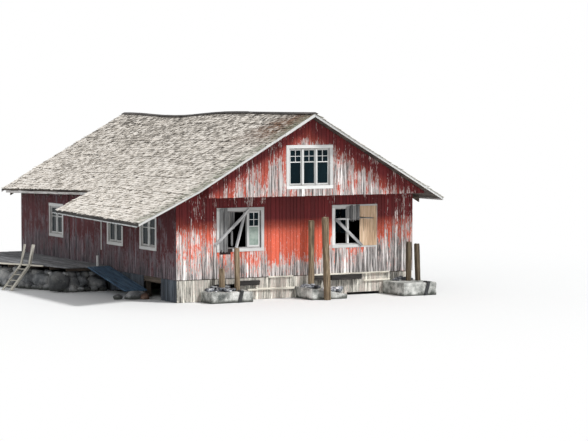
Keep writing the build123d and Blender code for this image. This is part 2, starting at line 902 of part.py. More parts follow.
# Mooring posts on the piers, one in front: place along the wall and from it, width, top, foot
mooring_posts = (
    (1545, 300, 160, 1150, left_pier_height),
    (2055, 450, 155, 1830, left_pier_height),
    (5010, 250, 200, 2680, middle_pier_low_side),
    (4970, middle_pier_reach + 100, 200, 2850, 0),
    (8770, 480, 150, 1840, right_pier_height),
    (9060, 620, 150, 1730, right_pier_height),
)
with BuildPart() as posts:
    for across, reach, width, top, foot in mooring_posts:
        with BuildSketch(Plane.XY.offset(foot + cap_seat)):
            with Locations((x_left + across, y_front - reach)):
                RectangleRounded(width, width, width / 4)
        extrude(amount=top - foot)
    tops = [face for face in posts.faces().filter_by(Plane.XY) if face.normal_at().Z > 0]
    chamfer([edge for face in tops for edge in face.edges()], post_bevel)
    with BuildSketch(xz_section(y_front - middle_pier_reach)):
        x_low, x_high = (x_left + x for x in middle_pier_x)
        high, low = middle_pier_height + cap_seat, middle_pier_low_side + cap_seat
        Polygon((x_low, 0), (x_high, 0), (x_high, low), (x_low, high), align=None)
    extrude(amount=-middle_pier_reach, mode=Mode.SUBTRACT)
save(posts, "mooring_posts")

# Fender beams along the skirt: start, end, underside, top and depth
fender_beams = (
    (2180, 3080, 500, 660, 150),
    (2650, 4470, 310, 380, 60),
    (5160, 5640, 570, 760, 150),
    (5860, 7080, 550, 760, 150),
    (7200, 8280, 460, 510, 60),
)
with BuildPart() as fenders:
    for start, end, low_z, high_z, depth in fender_beams:
        low = (x_left + start, y_front + skirt_inset - cap_seat - depth, low_z)
        span_box(low, (x_left + end, y_front + skirt_inset - cap_seat, high_z))
save(fenders, "fender_beams")

# Deck on its bank of stones
deck_outline = [
    (x_left - deck_wall_gap, y_front + deck_start),
    (x_left - deck_front_reach, y_front + deck_start),
    (x_left - deck_turn_reach, y_front + deck_turn_y),
    (x_left - deck_back_reach, y_front + deck_back_y),
    (x_left - deck_back_reach, y_back),
    (x_left - deck_wall_gap, y_back),
]
bank_outline = [
    (x_left - deck_wall_gap, y_front + deck_start + bank_spread),
    (x_left - deck_front_reach, y_front + deck_start + bank_spread),
    (x_left - deck_turn_reach - bank_spread, y_front + deck_turn_y),
    (x_left - deck_back_reach - bank_spread, y_front + deck_back_y),
    (x_left - deck_back_reach - bank_spread, y_back),
    (x_left - deck_wall_gap, y_back),
]
with BuildPart() as stone_bank:
    with BuildSketch():
        Polygon(*reversed(bank_outline), align=None)
    extrude(amount=bank_height, taper=bank_batter_angle)
save(stone_bank, "stone_bank")


def deck_reach(y):
    """How far the deck's outer edge lies from the wall at a place along the house."""
    along = y - y_front
    turns = (
        (deck_start, deck_front_reach),
        (deck_turn_y, deck_turn_reach),
        (deck_back_y, deck_back_reach),
        (house_depth, deck_back_reach),
    )
    for (y_a, r_a), (y_b, r_b) in zip(turns, turns[1:]):
        if along <= y_b:
            return r_a + (r_b - r_a) * (along - y_a) / (y_b - y_a)
    return deck_back_reach


deck_joist_step = (house_depth - deck_start - 2 * rafter_end_gap) / (deck_joist_count - 1)
with BuildPart() as deck_joists:
    for n in range(deck_joist_count):
        y = y_front + deck_start + rafter_end_gap + deck_joist_step * n
        x_outer = x_left - deck_reach(y - deck_joist_width) + bank_batter
        low = (x_outer, y - deck_joist_width / 2, bank_height)
        high = (x_left - deck_wall_gap, y + deck_joist_width / 2, bank_height + deck_joist_depth)
        span_box(low, high)
save(deck_joists, "deck_joists")

with BuildPart() as deck_boards:
    with BuildSketch(Plane.XY.offset(bank_height + deck_joist_depth)):
        Polygon(*deck_outline, align=None)
    extrude(amount=deck_board_thick)
save(deck_boards, "deck_boards")

# Ladder from the deck's outer edge down to the water, its rails bent upright above the deck
edge_x = deck_back_reach - deck_turn_reach
edge_y = deck_back_y - deck_turn_y
edge_length = math.hypot(edge_x, edge_y)
out_dir = (-edge_y / edge_length, -edge_x / edge_length, 0)
ladder_plane = Plane(
    origin=(x_left - deck_reach(y_front + ladder_y), y_front + ladder_y, 0),
    x_dir=out_dir,
    z_dir=(out_dir[1], -out_dir[0], 0),
)
deck_foot = deck_top - deck_board_thick
rail_inside = [
    (cap_seat - ladder_top_lean, ladder_top),
    (cap_seat, deck_top),
    (cap_seat, deck_foot),
    (ladder_reach - ladder_bend, 0),
]
rail_outside = [(out + ladder_bend, z) for out, z in reversed(rail_inside)]
rung_run = ladder_reach - ladder_bend - cap_seat
with BuildPart() as ladder:
    for side in (-1, 1):
        rail_place = side * (ladder_width - ladder_rail) / 2 - ladder_rail / 2
        with BuildSketch(ladder_plane.offset(rail_place)) as rail:
            Polygon(*rail_inside, *rail_outside, align=None)
        extrude(rail.sketch, amount=ladder_rail)
    with BuildSketch(ladder_plane.offset(ladder_rail - ladder_width / 2)) as rungs:
        for n in range(ladder_rungs):
            share = (n + 1) / (ladder_rungs + 1)
            with Locations((cap_seat + ladder_bend / 2 + rung_run * (1 - share), deck_foot * share)):
                Rectangle(ladder_rung, ladder_rung)
    extrude(rungs.sketch, amount=ladder_width - 2 * ladder_rail)
save(ladder, "ladder")

# Gangway from the deck's front edge down to a flat stone by the wall
gangway_fall = math.atan2(deck_top - gangway_foot_height, gangway_length)
gangway_drop = gangway_thick / math.cos(gangway_fall)
gangway_high_y = y_front + deck_start - cap_seat
gangway_low_y = gangway_high_y - gangway_length
gangway_x = x_left - gangway_wall_gap - gangway_width
gangway_plane = Plane(origin=(gangway_x, 0, 0), x_dir=(0, 1, 0), z_dir=(1, 0, 0))
with BuildPart() as gangway:
    with BuildSketch(gangway_plane):
        Polygon(
            (gangway_high_y, deck_top),
            (gangway_high_y, deck_top - gangway_drop),
            (gangway_low_y, gangway_foot_height - gangway_drop),
            (gangway_low_y, gangway_foot_height),
            align=None,
        )
    extrude(amount=gangway_width)
save(gangway, "gangway")

with BuildPart() as gangway_stone:
    stone_top = gangway_foot_height - gangway_drop
    span_box(
        (gangway_x, gangway_low_y - gangway_stone_size / 2, 0),
        (gangway_x + gangway_width, gangway_low_y + gangway_stone_size / 2, gangway_stone_height),
    )
    with BuildSketch(gangway_plane):
        far_y = gangway_low_y + gangway_stone_size
        rise_far = stone_top + gangway_stone_size * math.tan(gangway_fall)
        Polygon(
            (gangway_low_y - gangway_stone_size, stone_top - cap_seat),
            (gangway_low_y, stone_top - cap_seat),
            (far_y, rise_far - cap_seat),
            (far_y, rise_far + gangway_stone_size),
            (gangway_low_y - gangway_stone_size, rise_far + gangway_stone_size),
            align=None,
        )
    extrude(amount=gangway_width, mode=Mode.SUBTRACT)
save(gangway_stone, "gangway_stone")

# Small things on the left side: a short white bollard on the deck and a strip down the wall
with BuildPart() as bollard:
    with BuildSketch(Plane.XY.offset(deck_top)):
        with Locations((gangway_x + gangway_width / 2, y_front + deck_start + gangway_wall_gap)):
            Circle(bollard_radius)
    extrude(amount=bollard_height)
save(bollard, "bollard")

with BuildPart() as wall_strip:
    low = (x_left - strip_thick, y_front + strip_y - strip_width / 2, strip_foot)
    span_box(low, (x_left, y_front + strip_y + strip_width / 2, strip_top))
save(wall_strip, "wall_strip")
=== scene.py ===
import math

import bmesh
import bpy
import numpy as np
from mathutils import Matrix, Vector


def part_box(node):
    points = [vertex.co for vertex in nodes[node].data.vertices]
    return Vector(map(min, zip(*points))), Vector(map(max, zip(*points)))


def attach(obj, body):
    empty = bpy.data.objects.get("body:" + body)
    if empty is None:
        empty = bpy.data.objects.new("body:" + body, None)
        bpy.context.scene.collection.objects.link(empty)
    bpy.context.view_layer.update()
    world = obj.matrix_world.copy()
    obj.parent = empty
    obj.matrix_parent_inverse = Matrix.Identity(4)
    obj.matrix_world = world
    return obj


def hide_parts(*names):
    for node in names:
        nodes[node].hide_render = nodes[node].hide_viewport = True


# Looks of the old boathouse: worn red boards, split shingles, broken windows, rough posts and stones.
# House places below are in metres from the front left wall corner: x right, y back, z up.

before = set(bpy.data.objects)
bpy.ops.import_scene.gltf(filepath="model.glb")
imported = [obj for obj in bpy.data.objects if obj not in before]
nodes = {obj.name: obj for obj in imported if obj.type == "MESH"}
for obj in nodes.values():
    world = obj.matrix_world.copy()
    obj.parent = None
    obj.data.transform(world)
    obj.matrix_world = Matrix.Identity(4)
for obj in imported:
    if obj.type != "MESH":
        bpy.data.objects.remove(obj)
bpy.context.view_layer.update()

wall_low, wall_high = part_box("front_wall")
panel_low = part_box("upper_front_wall")[0]
roof_low, roof_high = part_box("right_roof")
canopy_low, canopy_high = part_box("canopy_roof")
x_left, y_front = wall_low[:2]
width = wall_high.x - x_left
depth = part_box("back_wall")[1].y - y_front
x_mid = width / 2
board_foot = wall_low.z
panel_y = panel_low.y - y_front
panel_foot = panel_low.z
ridge = roof_high.z
verge_y = roof_low.y - y_front
roof_end = roof_high.y - y_front
eave_reach = roof_high.x - x_left - width
canopy_end = canopy_high.y - y_front
canopy_edge = canopy_low.x - x_left
kink = canopy_high.x - x_left
pitch = math.radians(30)
slope = math.tan(pitch)
cosine, sine = math.cos(pitch), math.sin(pitch)
ridge_sag, ridge_end_drop, sag_start = 0.15, 0.09, 5.0
canopy_edge_z = 2.82
kink_z = ridge - slope * (x_mid - kink)
canopy_slope = (kink_z - canopy_edge_z) / (kink - canopy_edge)
left_reach = (0.27, 0.65)
canopy_reach = (-canopy_edge, 1.72)

UP = np.array([0.0, 0.0, 1.0])
RIGHT = np.array([1.0, 0.0, 0.0])
BACK = np.array([0.0, 1.0, 0.0])
LEFT, FRONT = -RIGHT, -BACK
TURN = 6.28  # about a full turn, the range of random angles
SPREAD = 60  # the range of random places in a pattern
EVEN = (0.5, 0.5, 0.5)


def at(x, y, z):
    """A place in the row frame from one in house metres."""
    return np.array([x_left + x, y_front + y, z])


def smooth(x, low, high):
    t = np.clip((x - low) / (high - low), 0, 1)
    return t * t * (3 - 2 * t)


def fixed(value):
    """A line or an edge that stays at one value all along."""
    return lambda along: value + 0 * along


def line(start, end):
    """Direction and length from one point to another."""
    run = np.linalg.norm(end - start)
    return (end - start) / run, run


# Shaders


LOOKS = {}  # this script's materials by name


class Nodes:
    """A tree of shader nodes, emptied, with short names for what is put in it."""

    def __init__(self, tree):
        self.tree = tree
        tree.nodes.clear()

    def put(self, socket, value):
        if isinstance(value, bpy.types.NodeSocket):
            self.tree.links.new(value, socket)
        else:
            socket.default_value = (*value, 1) if socket.type == "RGBA" else value

    def node(self, kind, inputs=(), **settings):
        made = self.tree.nodes.new(kind)
        for key, value in settings.items():
            setattr(made, key, value)
        for key, value in dict(inputs).items():
            self.put(made.inputs[key], value)
        return made

    def split(self, vector):
        return self.node("ShaderNodeSeparateXYZ", {0: vector}).outputs

    def place(self):
        return self.node("ShaderNodeTexCoord").outputs["Object"]

    def tone(self):
        """Three numbers from the mesh: brightness, and for paint how much is left and how faded and sunlit it
        is, the last partly painted shade and sunlight.
        """
        return self.split(self.node("ShaderNodeAttribute", attribute_name="tone").outputs["Vector"])

    def grain(self, axis=None):
        """Place along and across the wood: the mesh's own, or the object's with this axis along."""
        if axis is None:
            return self.node("ShaderNodeAttribute", attribute_name="grain").outputs["Vector"]
        x, y, z = self.split(self.place())
        order = {"x": (x, y, z), "y": (y, x, z), "z": (z, x, y)}[axis]
        return self.node("ShaderNodeCombineXYZ", enumerate(order)).outputs[0]

    def noise(self, vector, scale, detail, roughness=0.55):
        scale = scale if isinstance(scale, tuple) else (scale,) * 3
        moved = self.node("ShaderNodeMapping", {"Vector": vector, "Scale": scale}).outputs[0]
        inputs = {"Vector": moved, "Scale": 1.0, "Detail": detail, "Roughness": roughness}
        return self.node("ShaderNodeTexNoise", inputs).outputs[0]

    def calc(self, operation, a, b=0.0):
        return self.node("ShaderNodeMath", {0: a, 1: b}, operation=operation).outputs[0]

    def total(self, *terms):
        """Sum of value and weight pairs."""
        made = 0.0
        for value, weight in terms:
            made = self.calc("ADD", made, self.calc("MULTIPLY", value, weight))
        return made

    def step(self, value, low, high, start=0.0, end=1.0):
        inputs = {"Value": value, "From Min": low, "From Max": high, "To Min": start, "To Max": end}
        return self.node("ShaderNodeMapRange", inputs, interpolation_type="SMOOTHSTEP").outputs[0]

    def mix(self, share, a, b, blend="MIX"):
        inputs = {0: share, 6: a, 7: b}
        return self.node("ShaderNodeMix", inputs, data_type="RGBA", blend_type=blend).outputs[2]

    def ramp(self, value, *stops):
        made = self.node("ShaderNodeValToRGB", {0: value})
        points = made.color_ramp.elements
        while len(points) < len(stops):
            points.new(0.5)
        for point, (place, colour) in zip(points, stops):
            point.position = place
            point.color = (*colour, 1)
        return made.outputs[0]

    def bright(self, colour, value, low, high):
        """The colour made darker or lighter by a value from 0 to 1."""
        level = self.step(value, 0.0, 1.0, low, high)
        grey = self.node("ShaderNodeCombineColor", enumerate((level,) * 3)).outputs[0]
        return self.mix(1.0, colour, grey, "MULTIPLY")


class Shader(Nodes):
    """A material with one Principled shader."""

    def __init__(self, name, roughness, settings=()):
        self.material = LOOKS[name] = bpy.data.materials.new(name)
        self.material.use_nodes = True
        super().__init__(self.material.node_tree)
        self.shader = self.node("ShaderNodeBsdfPrincipled", {"Roughness": roughness, **dict(settings)})
        self.output = self.node("ShaderNodeOutputMaterial", {0: self.shader.outputs[0]})

    def finish(self, colour, height, distance=0.004, strength=0.7):
        bump = self.node("ShaderNodeBump", {"Height": height, "Distance": distance, "Strength": strength})
        self.put(self.shader.inputs["Base Color"], colour)
        self.put(self.shader.inputs["Normal"], bump.outputs[0])


def wood_layers(s, vector):
    """Fine, middle and broad streaks of weathered wood, and their sum."""
    fine = s.noise(vector, (2.5, 80, 80), 6, 0.6)
    middle = s.noise(vector, (0.9, 17, 17), 3)
    broad = s.noise(vector, (0.8, 2.2, 2.2), 2)
    level = s.total((fine, 0.42), (middle, 0.36), (broad, 0.22))
    return fine, middle, broad, s.step(level, 0.34, 0.66)


def bare_wood(name, dark, middle, light, axis=None, darker=0.7, lighter=1.25):
    s = Shader(name, 0.9)
    vector = s.grain(axis)
    fine, _, _, level = wood_layers(s, vector)
    colour = s.ramp(level, (0.0, dark), (0.5, middle), (1.0, light))
    if axis is None:
        colour = s.bright(colour, s.tone()[0], darker, lighter)
    gap = s.step(s.noise(vector, (1.3, 38, 38), 2, 0.4), 0.30, 0.36)
    colour = s.mix(gap, tuple(0.35 * c for c in dark), colour)
    s.finish(colour, s.total((fine, 0.5), (gap, 0.5)), 0.006)


def painted_wood(name, deep, faded, wash, bare, axis=None, cover=0.6, flake=2.2):
    """Paint that flakes off in streaks; the mesh's tone says how much is left and how faded and sunlit it is.
    The deep colour is partly painted shade, the faded one partly painted sunlight.
    """
    s = Shader(name, 0.8)
    vector = s.grain(axis)
    fine, mid, broad, level = wood_layers(s, vector)
    wood = s.ramp(level, (0.0, bare[0]), (0.42, bare[1]), (1.0, bare[2]))
    tone, left, fade_and_light = s.tone() if axis is None else (broad, cover, mid)
    wood = s.bright(wood, tone, 0.55, 1.2)
    wood = s.bright(wood, s.step(mid, 0.34, 0.64), 0.42, 1.34)
    gap = s.step(s.noise(vector, (1.1, 40, 40), 2, 0.4), 0.37, 0.43)
    wood = s.mix(gap, tuple(0.5 * c for c in bare[0]), wood)
    streak = s.noise(vector, (2.0, 28, 28), 7, 0.68)
    chip = s.noise(vector, (9, 30, 30), 4, 0.6)
    patch = s.noise(s.place(), 1.7, 3)
    edge = s.total((left, 1.0), (streak, flake), (chip, 0.5 * flake), (patch, 0.5 * flake))
    middle = 0.5 + flake
    thin = s.step(edge, middle - 0.42, middle + 0.02)
    whole = s.step(edge, middle - 0.03, middle + 0.07)
    # the mix from the deep to the faded colour is partly real fading and partly painted shade and sunlight
    paint = s.bright(s.mix(fade_and_light, deep, faded), tone, 0.82, 1.15)
    paint = s.bright(paint, fine, 0.7, 1.3)
    scuff = s.step(s.noise(vector, (13, 42, 42), 5, 0.65), 0.60, 0.66)
    paint = s.mix(s.calc("MULTIPLY", scuff, s.calc("MULTIPLY", fade_and_light, 0.7)), paint, wash)
    colour = s.mix(s.calc("MULTIPLY", thin, 0.6), wood, wash)
    colour = s.mix(whole, colour, paint)
    s.finish(colour, s.total((fine, 0.4), (whole, 0.3), (gap, 0.3)), 0.006)


SILVER = ((0.10, 0.088, 0.085), (0.53, 0.495, 0.48), (0.85, 0.82, 0.80))
WHITE = ((0.60, 0.60, 0.585), (0.75, 0.75, 0.735), (0.56, 0.53, 0.50), SILVER)
INNER = ((0.03, 0.022, 0.016), (0.09, 0.068, 0.05), (0.17, 0.13, 0.10))
# deep and faded paint (for the red paints the deep colour is partly painted shade and the faded one partly
# painted sunlight), the paint's thin wash, and dark, middle and light bare wood
for row in (
    ("red_paint", (0.105, 0.003, 0.008), (0.74, 0.132, 0.07), (0.78, 0.60, 0.56), SILVER),
    # The side walls' paint and bare wood are a darker copy of the red paint: painted shade.
    (
        "side_paint", (0.062, 0.004, 0.008), (0.14, 0.017, 0.018), (0.23, 0.155, 0.17),
        ((0.017, 0.013, 0.018), (0.085, 0.067, 0.08), (0.25, 0.215, 0.235)),
    ),
    ("white_paint", *WHITE, None, 0.6, 0.9),
    ("white_fixed", *WHITE, "z", 0.8, 0.9),
    (
        "grey_boards", (0.46, 0.25, 0.21), (0.61, 0.57, 0.51), (0.75, 0.72, 0.64),
        ((0.14, 0.13, 0.11), (0.54, 0.515, 0.45), (0.84, 0.81, 0.73)),
    ),
):
    painted_wood(*row)
# dark, middle and light; the axis along the wood; how dark and light the mesh's tone makes it
for row in (
    ("shade_boards", (0.012, 0.008, 0.008), (0.035, 0.02, 0.018), (0.06, 0.035, 0.03), "z"),
    # the left skirt's dark blue-grey is painted shade
    ("side_wood", (0.013, 0.017, 0.022), (0.065, 0.08, 0.10), (0.16, 0.18, 0.21)),
    ("inner_wood", *INNER, "x"),
    ("inner_wood_y", *INNER, "y"),
    ("inner_wood_z", *INNER, "z"),
    # the roof boards are near-black under the eaves: painted shade
    ("roof_boards", (0.022, 0.018, 0.016), (0.075, 0.06, 0.05), (0.15, 0.125, 0.10)),
    ("ridge_wood", (0.010, 0.009, 0.008), (0.040, 0.035, 0.032), (0.12, 0.105, 0.095)),
    ("post_wood", (0.035, 0.023, 0.014), (0.21, 0.15, 0.09), (0.50, 0.40, 0.27), None, 0.4, 1.2),
    ("pale_wood", (0.26, 0.24, 0.20), (0.66, 0.62, 0.53), (0.86, 0.83, 0.74), None, 0.75, 1.15),
    # the deck's dark blue-grey is painted shade
    ("deck_wood", (0.03, 0.032, 0.036), (0.125, 0.128, 0.135), (0.27, 0.27, 0.27)),
    # the gangway's dark blue is painted shade with the sky's blue in it
    ("gangway_wood", (0.008, 0.024, 0.048), (0.032, 0.075, 0.13), (0.09, 0.15, 0.21)),
    ("broken_wood", (0.06, 0.06, 0.065), (0.30, 0.30, 0.30), (0.60, 0.585, 0.56), None, 0.3, 1.4),
    ("ply_wood", (0.32, 0.20, 0.12), (0.62, 0.43, 0.28), (0.74, 0.57, 0.41)),
):
    bare_wood(*row)


def shingle_shader():
    s = Shader("shingles", 0.92)
    tone, brown, moss = s.tone()
    fine = s.noise(s.grain(), (5, 90, 90), 5, 0.6)
    broad, patch = s.noise(s.place(), 0.9, 3), s.noise(s.place(), 8, 3)
    level = s.total((tone, 0.62), (fine, 0.25), (broad, 0.22), (patch, 0.40))
    colour = s.ramp(
        level, (0.26, (0.055, 0.047, 0.041)), (0.56, (0.385, 0.349, 0.303)), (0.78, (0.67, 0.617, 0.549)),
        (1.0, (0.82, 0.768, 0.70)),
    )
    colour = s.mix(brown, colour, s.bright((0.17, 0.085, 0.045), fine, 0.5, 1.5))
    colour = s.mix(moss, colour, s.bright((0.20, 0.21, 0.15), fine, 0.7, 1.4))
    s.finish(colour, fine)


def stone_shader(name, dark, middle, light, wet=0.14, scale=1.0, spot=0.5):
    """Blotched stone with spots of lichen, dark up to the wet line."""
    s = Shader(name, 0.88)
    place = s.place()
    blotch = s.noise(place, 2.2 * scale, 6, 0.62)
    speck = s.noise(place, 60 * scale, 3, 0.6)
    level = s.total((blotch, 0.72), (speck, 0.28))
    colour = s.ramp(s.step(level, 0.32, 0.68), (0.0, dark), (0.5, middle), (1.0, light))
    colour = s.bright(colour, s.tone()[0], 0.4, 1.5)
    lichen = s.step(s.noise(place, 7 * scale, 5, 0.7), 0.60, 0.68)
    colour = s.mix(s.calc("MULTIPLY", lichen, spot), colour, light)
    ragged = s.total((s.split(place)[2], 1.0), (blotch, 0.22))
    dry = s.step(ragged, wet, wet + 0.13)
    colour = s.mix(s.step(dry, 0.0, 1.0, 0.75, 0.0), colour, (0.045, 0.05, 0.04))
    pits = s.node("ShaderNodeTexVoronoi", {"Vector": place, "Scale": 26 * scale}).outputs["Distance"]
    s.finish(colour, s.total((blotch, 0.5), (speck, 0.25), (pits, 0.25)), 0.02, 0.8)


shingle_shader()
# dark, middle and light; the height of the wet line; how fine and how spotted
for row in (
    ("rock", (0.045, 0.05, 0.055), (0.17, 0.175, 0.18), (0.38, 0.375, 0.36)),
    ("brown_rock", (0.10, 0.05, 0.035), (0.36, 0.21, 0.15), (0.60, 0.42, 0.33), 0.03),
    ("core_rock", (0.02, 0.02, 0.02), (0.06, 0.06, 0.055), (0.10, 0.10, 0.09)),
    # the concrete's higher dark band is partly a wet stain and partly painted shade of the piers
    ("concrete", (0.07, 0.08, 0.075), (0.39, 0.395, 0.37), (0.82, 0.82, 0.78), 0.13, 1.3),
    # near-black and near-white rubble: painted shade and painted highlights
    ("rubble_rock", (0.010, 0.013, 0.02), (0.15, 0.16, 0.18), (0.90, 0.90, 0.89), 0.0, 2.5, 0.4),
):
    stone_shader(*row)


def plain_shader(name, dark, light, scale, roughness):
    s = Shader(name, roughness)
    cloud = s.noise(s.place(), scale, 5, 0.6)
    s.finish(s.ramp(s.step(cloud, 0.3, 0.7), (0.0, dark), (1.0, light)), cloud, 0.002, 0.4)


# dark and light; how fine the clouds in it are; roughness
for row in (
    ("gutter_metal", (0.40, 0.42, 0.42), (0.66, 0.68, 0.68), 6, 0.5),
    ("rubber", (0.012, 0.013, 0.014), (0.04, 0.042, 0.045), 14, 0.7),
    ("clouded_pane", (0.22, 0.29, 0.25), (0.38, 0.45, 0.40), 5, 0.15),
    ("iron", (0.03, 0.022, 0.018), (0.12, 0.07, 0.045), 40, 0.75),
):
    plain_shader(*row)


def glass_shader():
    s = Shader("glass", 0.06, {"Transmission Weight": 0.4, "IOR": 1.15})
    streak = s.noise(s.place(), (1.5, 1.5, 0.7), 4, 0.6)
    # the panes' near-black teal is partly painted shade of the dark room behind
    colour = s.ramp(streak, (0.3, (0.002, 0.009, 0.013)), (0.7, (0.008, 0.028, 0.038)))
    s.finish(colour, s.noise(s.place(), (5, 5, 3), 2), 0.003, 0.25)


glass_shader()

# Mesh making


class Heap:
    """Points and faces of one piece, with the wood's own coordinates and tone at each point."""

    def __init__(self, seed):
        self.points, self.grains, self.tones, self.faces, self.marks = [], [], [], [], []
        self.count = 0
        self.rng = np.random.default_rng(seed)

    def add(self, points, faces, grain, tone, mark=0):
        points = np.array(points, float).reshape(-1, 3)
        points[:, 2] = np.maximum(points[:, 2], 0.0)  # nothing reaches below the ground
        self.points.append(points)
        for rows, values in ((self.grains, grain), (self.tones, tone)):
            rows.append(np.broadcast_to(np.asarray(values, float).reshape(-1, 3), points.shape))
        if isinstance(faces, np.ndarray):
            faces = (faces + self.count).tolist()
        else:
            faces = [[self.count + i for i in face] for face in faces]
        self.faces += faces
        self.marks += [mark] * len(faces)
        self.count += len(points)

    def build(self, name, slot, looks, *replaces, rounded=False):
        mesh = bpy.data.meshes.new(name)
        mesh.from_pydata(np.concatenate(self.points).tolist(), [], self.faces)
        for key, rows in (("grain", self.grains), ("tone", self.tones)):
            layer = mesh.attributes.new(key, "FLOAT_VECTOR", "POINT")
            layer.data.foreach_set("vector", np.concatenate(rows).astype(np.float32).ravel())
        for look in looks.split():
            mesh.materials.append(LOOKS[look])
        mesh.polygons.foreach_set("material_index", self.marks)
        mesh.polygons.foreach_set("use_smooth", [rounded] * len(self.faces))
        work = bmesh.new()
        work.from_mesh(mesh)
        bmesh.ops.recalc_face_normals(work, faces=work.faces)
        work.to_mesh(mesh)
        work.free()
        piece = bpy.data.objects.new(name, mesh)
        bpy.context.scene.collection.objects.link(piece)
        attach(piece, "root")
        if replaces:
            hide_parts(*replaces)


def pile(seed, name, slot, looks, make, things, *replaces, **more):
    """A piece made of one kind of thing, each given as its function takes it."""
    heap = Heap(seed)
    for row in things:
        make(heap, *row, **more)
    heap.build(name, slot, looks, *replaces)


def skin(heap, sections, grain, tone, mark=0):
    """Close a row of equal closed sections, shaped rings by points by 3, into a solid."""
    rings, k = sections.shape[:2]
    last = (rings - 1) * k
    faces = [
        (r + j, r + (j + 1) % k, r + k + (j + 1) % k, r + k + j) for r in range(0, last, k) for j in range(k)
    ]
    faces += [range(k)[::-1], range(last, last + k)]
    heap.add(sections, faces, grain, tone, mark)


def board(
    heap, start, along, across, out, length, wide, thick,
    foot=(0, 0), top=(0, 0), step=0.45, chamfer=0.003, warp=0.0, paint=0.9, tone=None, mark=0,
):
    """A board from its lower back corner. Foot and top move the ends' two corners along it."""
    rng = heap.rng
    c = min(chamfer, thick * 0.4, wide * 0.3)
    profile = np.array([(0, 0), (wide, 0), (wide, thick - c), (wide - c, thick), (c, thick), (0, thick - c)])
    t = np.linspace(0, 1, max(1, math.ceil(length / step)) + 1)[:, None]
    a, d = profile.T[:, None]
    low = foot[0] + (foot[1] - foot[0]) * a / wide
    high = length + top[0] + (top[1] - top[0]) * a / wide
    s = low + (high - low) * t
    turns, phases = rng.uniform(0.6, 1.7, 2), rng.uniform(0, TURN, 2)
    bow = warp * np.sin(math.pi * turns[0] * t + phases[0])
    sway = 0.5 * warp * np.sin(math.pi * turns[1] * t + phases[1])
    points = (
        np.asarray(start) + s[..., None] * along + (a + sway)[..., None] * across + (d + bow)[..., None] * out
    ).reshape(-1, 3)
    grain = np.stack(np.broadcast_arrays(s, a, d), -1) + rng.uniform(0, SPREAD, 3)
    shade = rng.uniform(0, 1) if tone is None else tone
    fade_and_light, change = rng.uniform(0, 1), rng.uniform(-0.18, 0.18)
    left = paint
    if callable(paint):
        left, fade_and_light = paint(points)
        left = left + change
    tones = np.stack(np.broadcast_arrays(shade, np.clip(left, 0, 1.4), fade_and_light), -1)
    skin(heap, points.reshape(*s.shape, 3), grain, tones, mark)


def plank(heap, start, end, across, out, wide, thick, **more):
    """A board between two points in the middle of its back."""
    along, run = line(start, end)
    board(heap, start - across * wide / 2, along, across, out, run, wide, thick, **more)


def cladding(
    heap, origin, across, out, breaks, foot, top, holes=(),
    wide=0.14, thick=0.018, gap=0.012, ragged=0.012, warp=0.002, paint=0.9,
):
    """Upright boards side by side between the breaks, cut round the holes."""
    rng = heap.rng
    inside = [u for hole in holes for u in hole[:2] if breaks[0] < u < breaks[-1]]
    marks = sorted({*breaks, *inside})
    for a, b in zip(marks, marks[1:]):
        count = max(1, round((b - a) / wide))
        cuts = np.linspace(a, b, count + 1)
        cuts[1:-1] += rng.uniform(-0.22, 0.22, count - 1) * (b - a) / count
        for u0, u1 in zip(cuts, cuts[1:]):
            mid = (u0 + u1) / 2
            z = foot(mid) - rng.uniform(0, ragged)
            spans = []
            for hole in sorted(holes, key=lambda h: h[2]):
                if hole[0] - 1e-6 <= mid <= hole[1] + 1e-6:
                    if hole[2] > z + 0.02:
                        spans.append((z, hole[2], (0, 0)))
                    z = max(z, hole[3])
            edge = top(mid)
            if edge > z + 0.02:
                spans.append((z, edge, (top(u0 + 1e-4) - edge, top(u1 - 1e-4) - edge)))
            lift = 0.002 + rng.uniform(0, 0.003)
            for low, high, ends in spans:
                start = origin + across * (u0 + gap / 2) + UP * low + out * lift
                board(
                    heap, start, UP, across, out, high - low, u1 - u0 - gap, thick,
                    top=ends, step=0.4, warp=warp, paint=paint,
                )


def clad(seed, name, looks, stretches, paint):
    """A piece of red boards, each stretch given as cladding takes it."""
    pile(seed, name, "red_boards", looks, cladding, stretches, paint=paint)


def on(place, u, v, d):
    """A point in a window's own place: across, up and out from its middle."""
    origin, across, out = place
    return origin + across * u + UP * v + out * d


def prism(heap, place, outline, inner, outer, mark=0):
    """A flat piece in a window's plane from its outline, between two depths."""
    corners = [(u, v, d) for d in (inner, outer) for u, v in outline]
    section = np.array([on(place, *corner) for corner in corners]).reshape(2, -1, 3)
    grain = [(v, u, d) for u, v, d in corners] + heap.rng.uniform(0, SPREAD, 3)
    skin(heap, section, grain, (0.5, 0.8, 0.5), mark)


def bar(heap, place, u0, u1, v0, v1, inner, outer, **more):
    """A bar of a window, with the wood along its longer side."""
    start, (_, across, out) = on(place, u0, v0, inner), place
    wide, tall = u1 - u0, v1 - v0
    ways, sizes = (UP, across), (tall, wide)
    if tall < wide:
        ways, sizes = ways[::-1], sizes[::-1]
    board(heap, start, *ways, out, *sizes, outer - inner, step=9, **more)


def bars(heap, place, rows, inner, outer, **more):
    for row in rows:
        bar(heap, place, *row, inner, outer, **more)


def shape(operation, cuts=0, **settings):
    """Points and faces of one of bmesh's own shapes, its edges cut this often."""
    work = bmesh.new()
    operation(work, **settings)
    if cuts:
        bmesh.ops.subdivide_edges(work, edges=work.edges, cuts=cuts, use_grid_fill=True)
    points = np.array([v.co[:] for v in work.verts])
    faces = np.array([[v.index for v in f.verts] for f in work.faces])
    work.free()
    return points, faces


def ripple(rng, places, scale, count):
    """The mean of some random waves at each of the places."""
    waves, phases = rng.normal(size=(count, 3)) * scale, rng.uniform(0, TURN, count)
    return sum(np.sin(places @ w + f) for w, f in zip(waves, phases)) / count


BALLS = {level: shape(bmesh.ops.create_icosphere, subdivisions=level, radius=1) for level in (2, 3)}


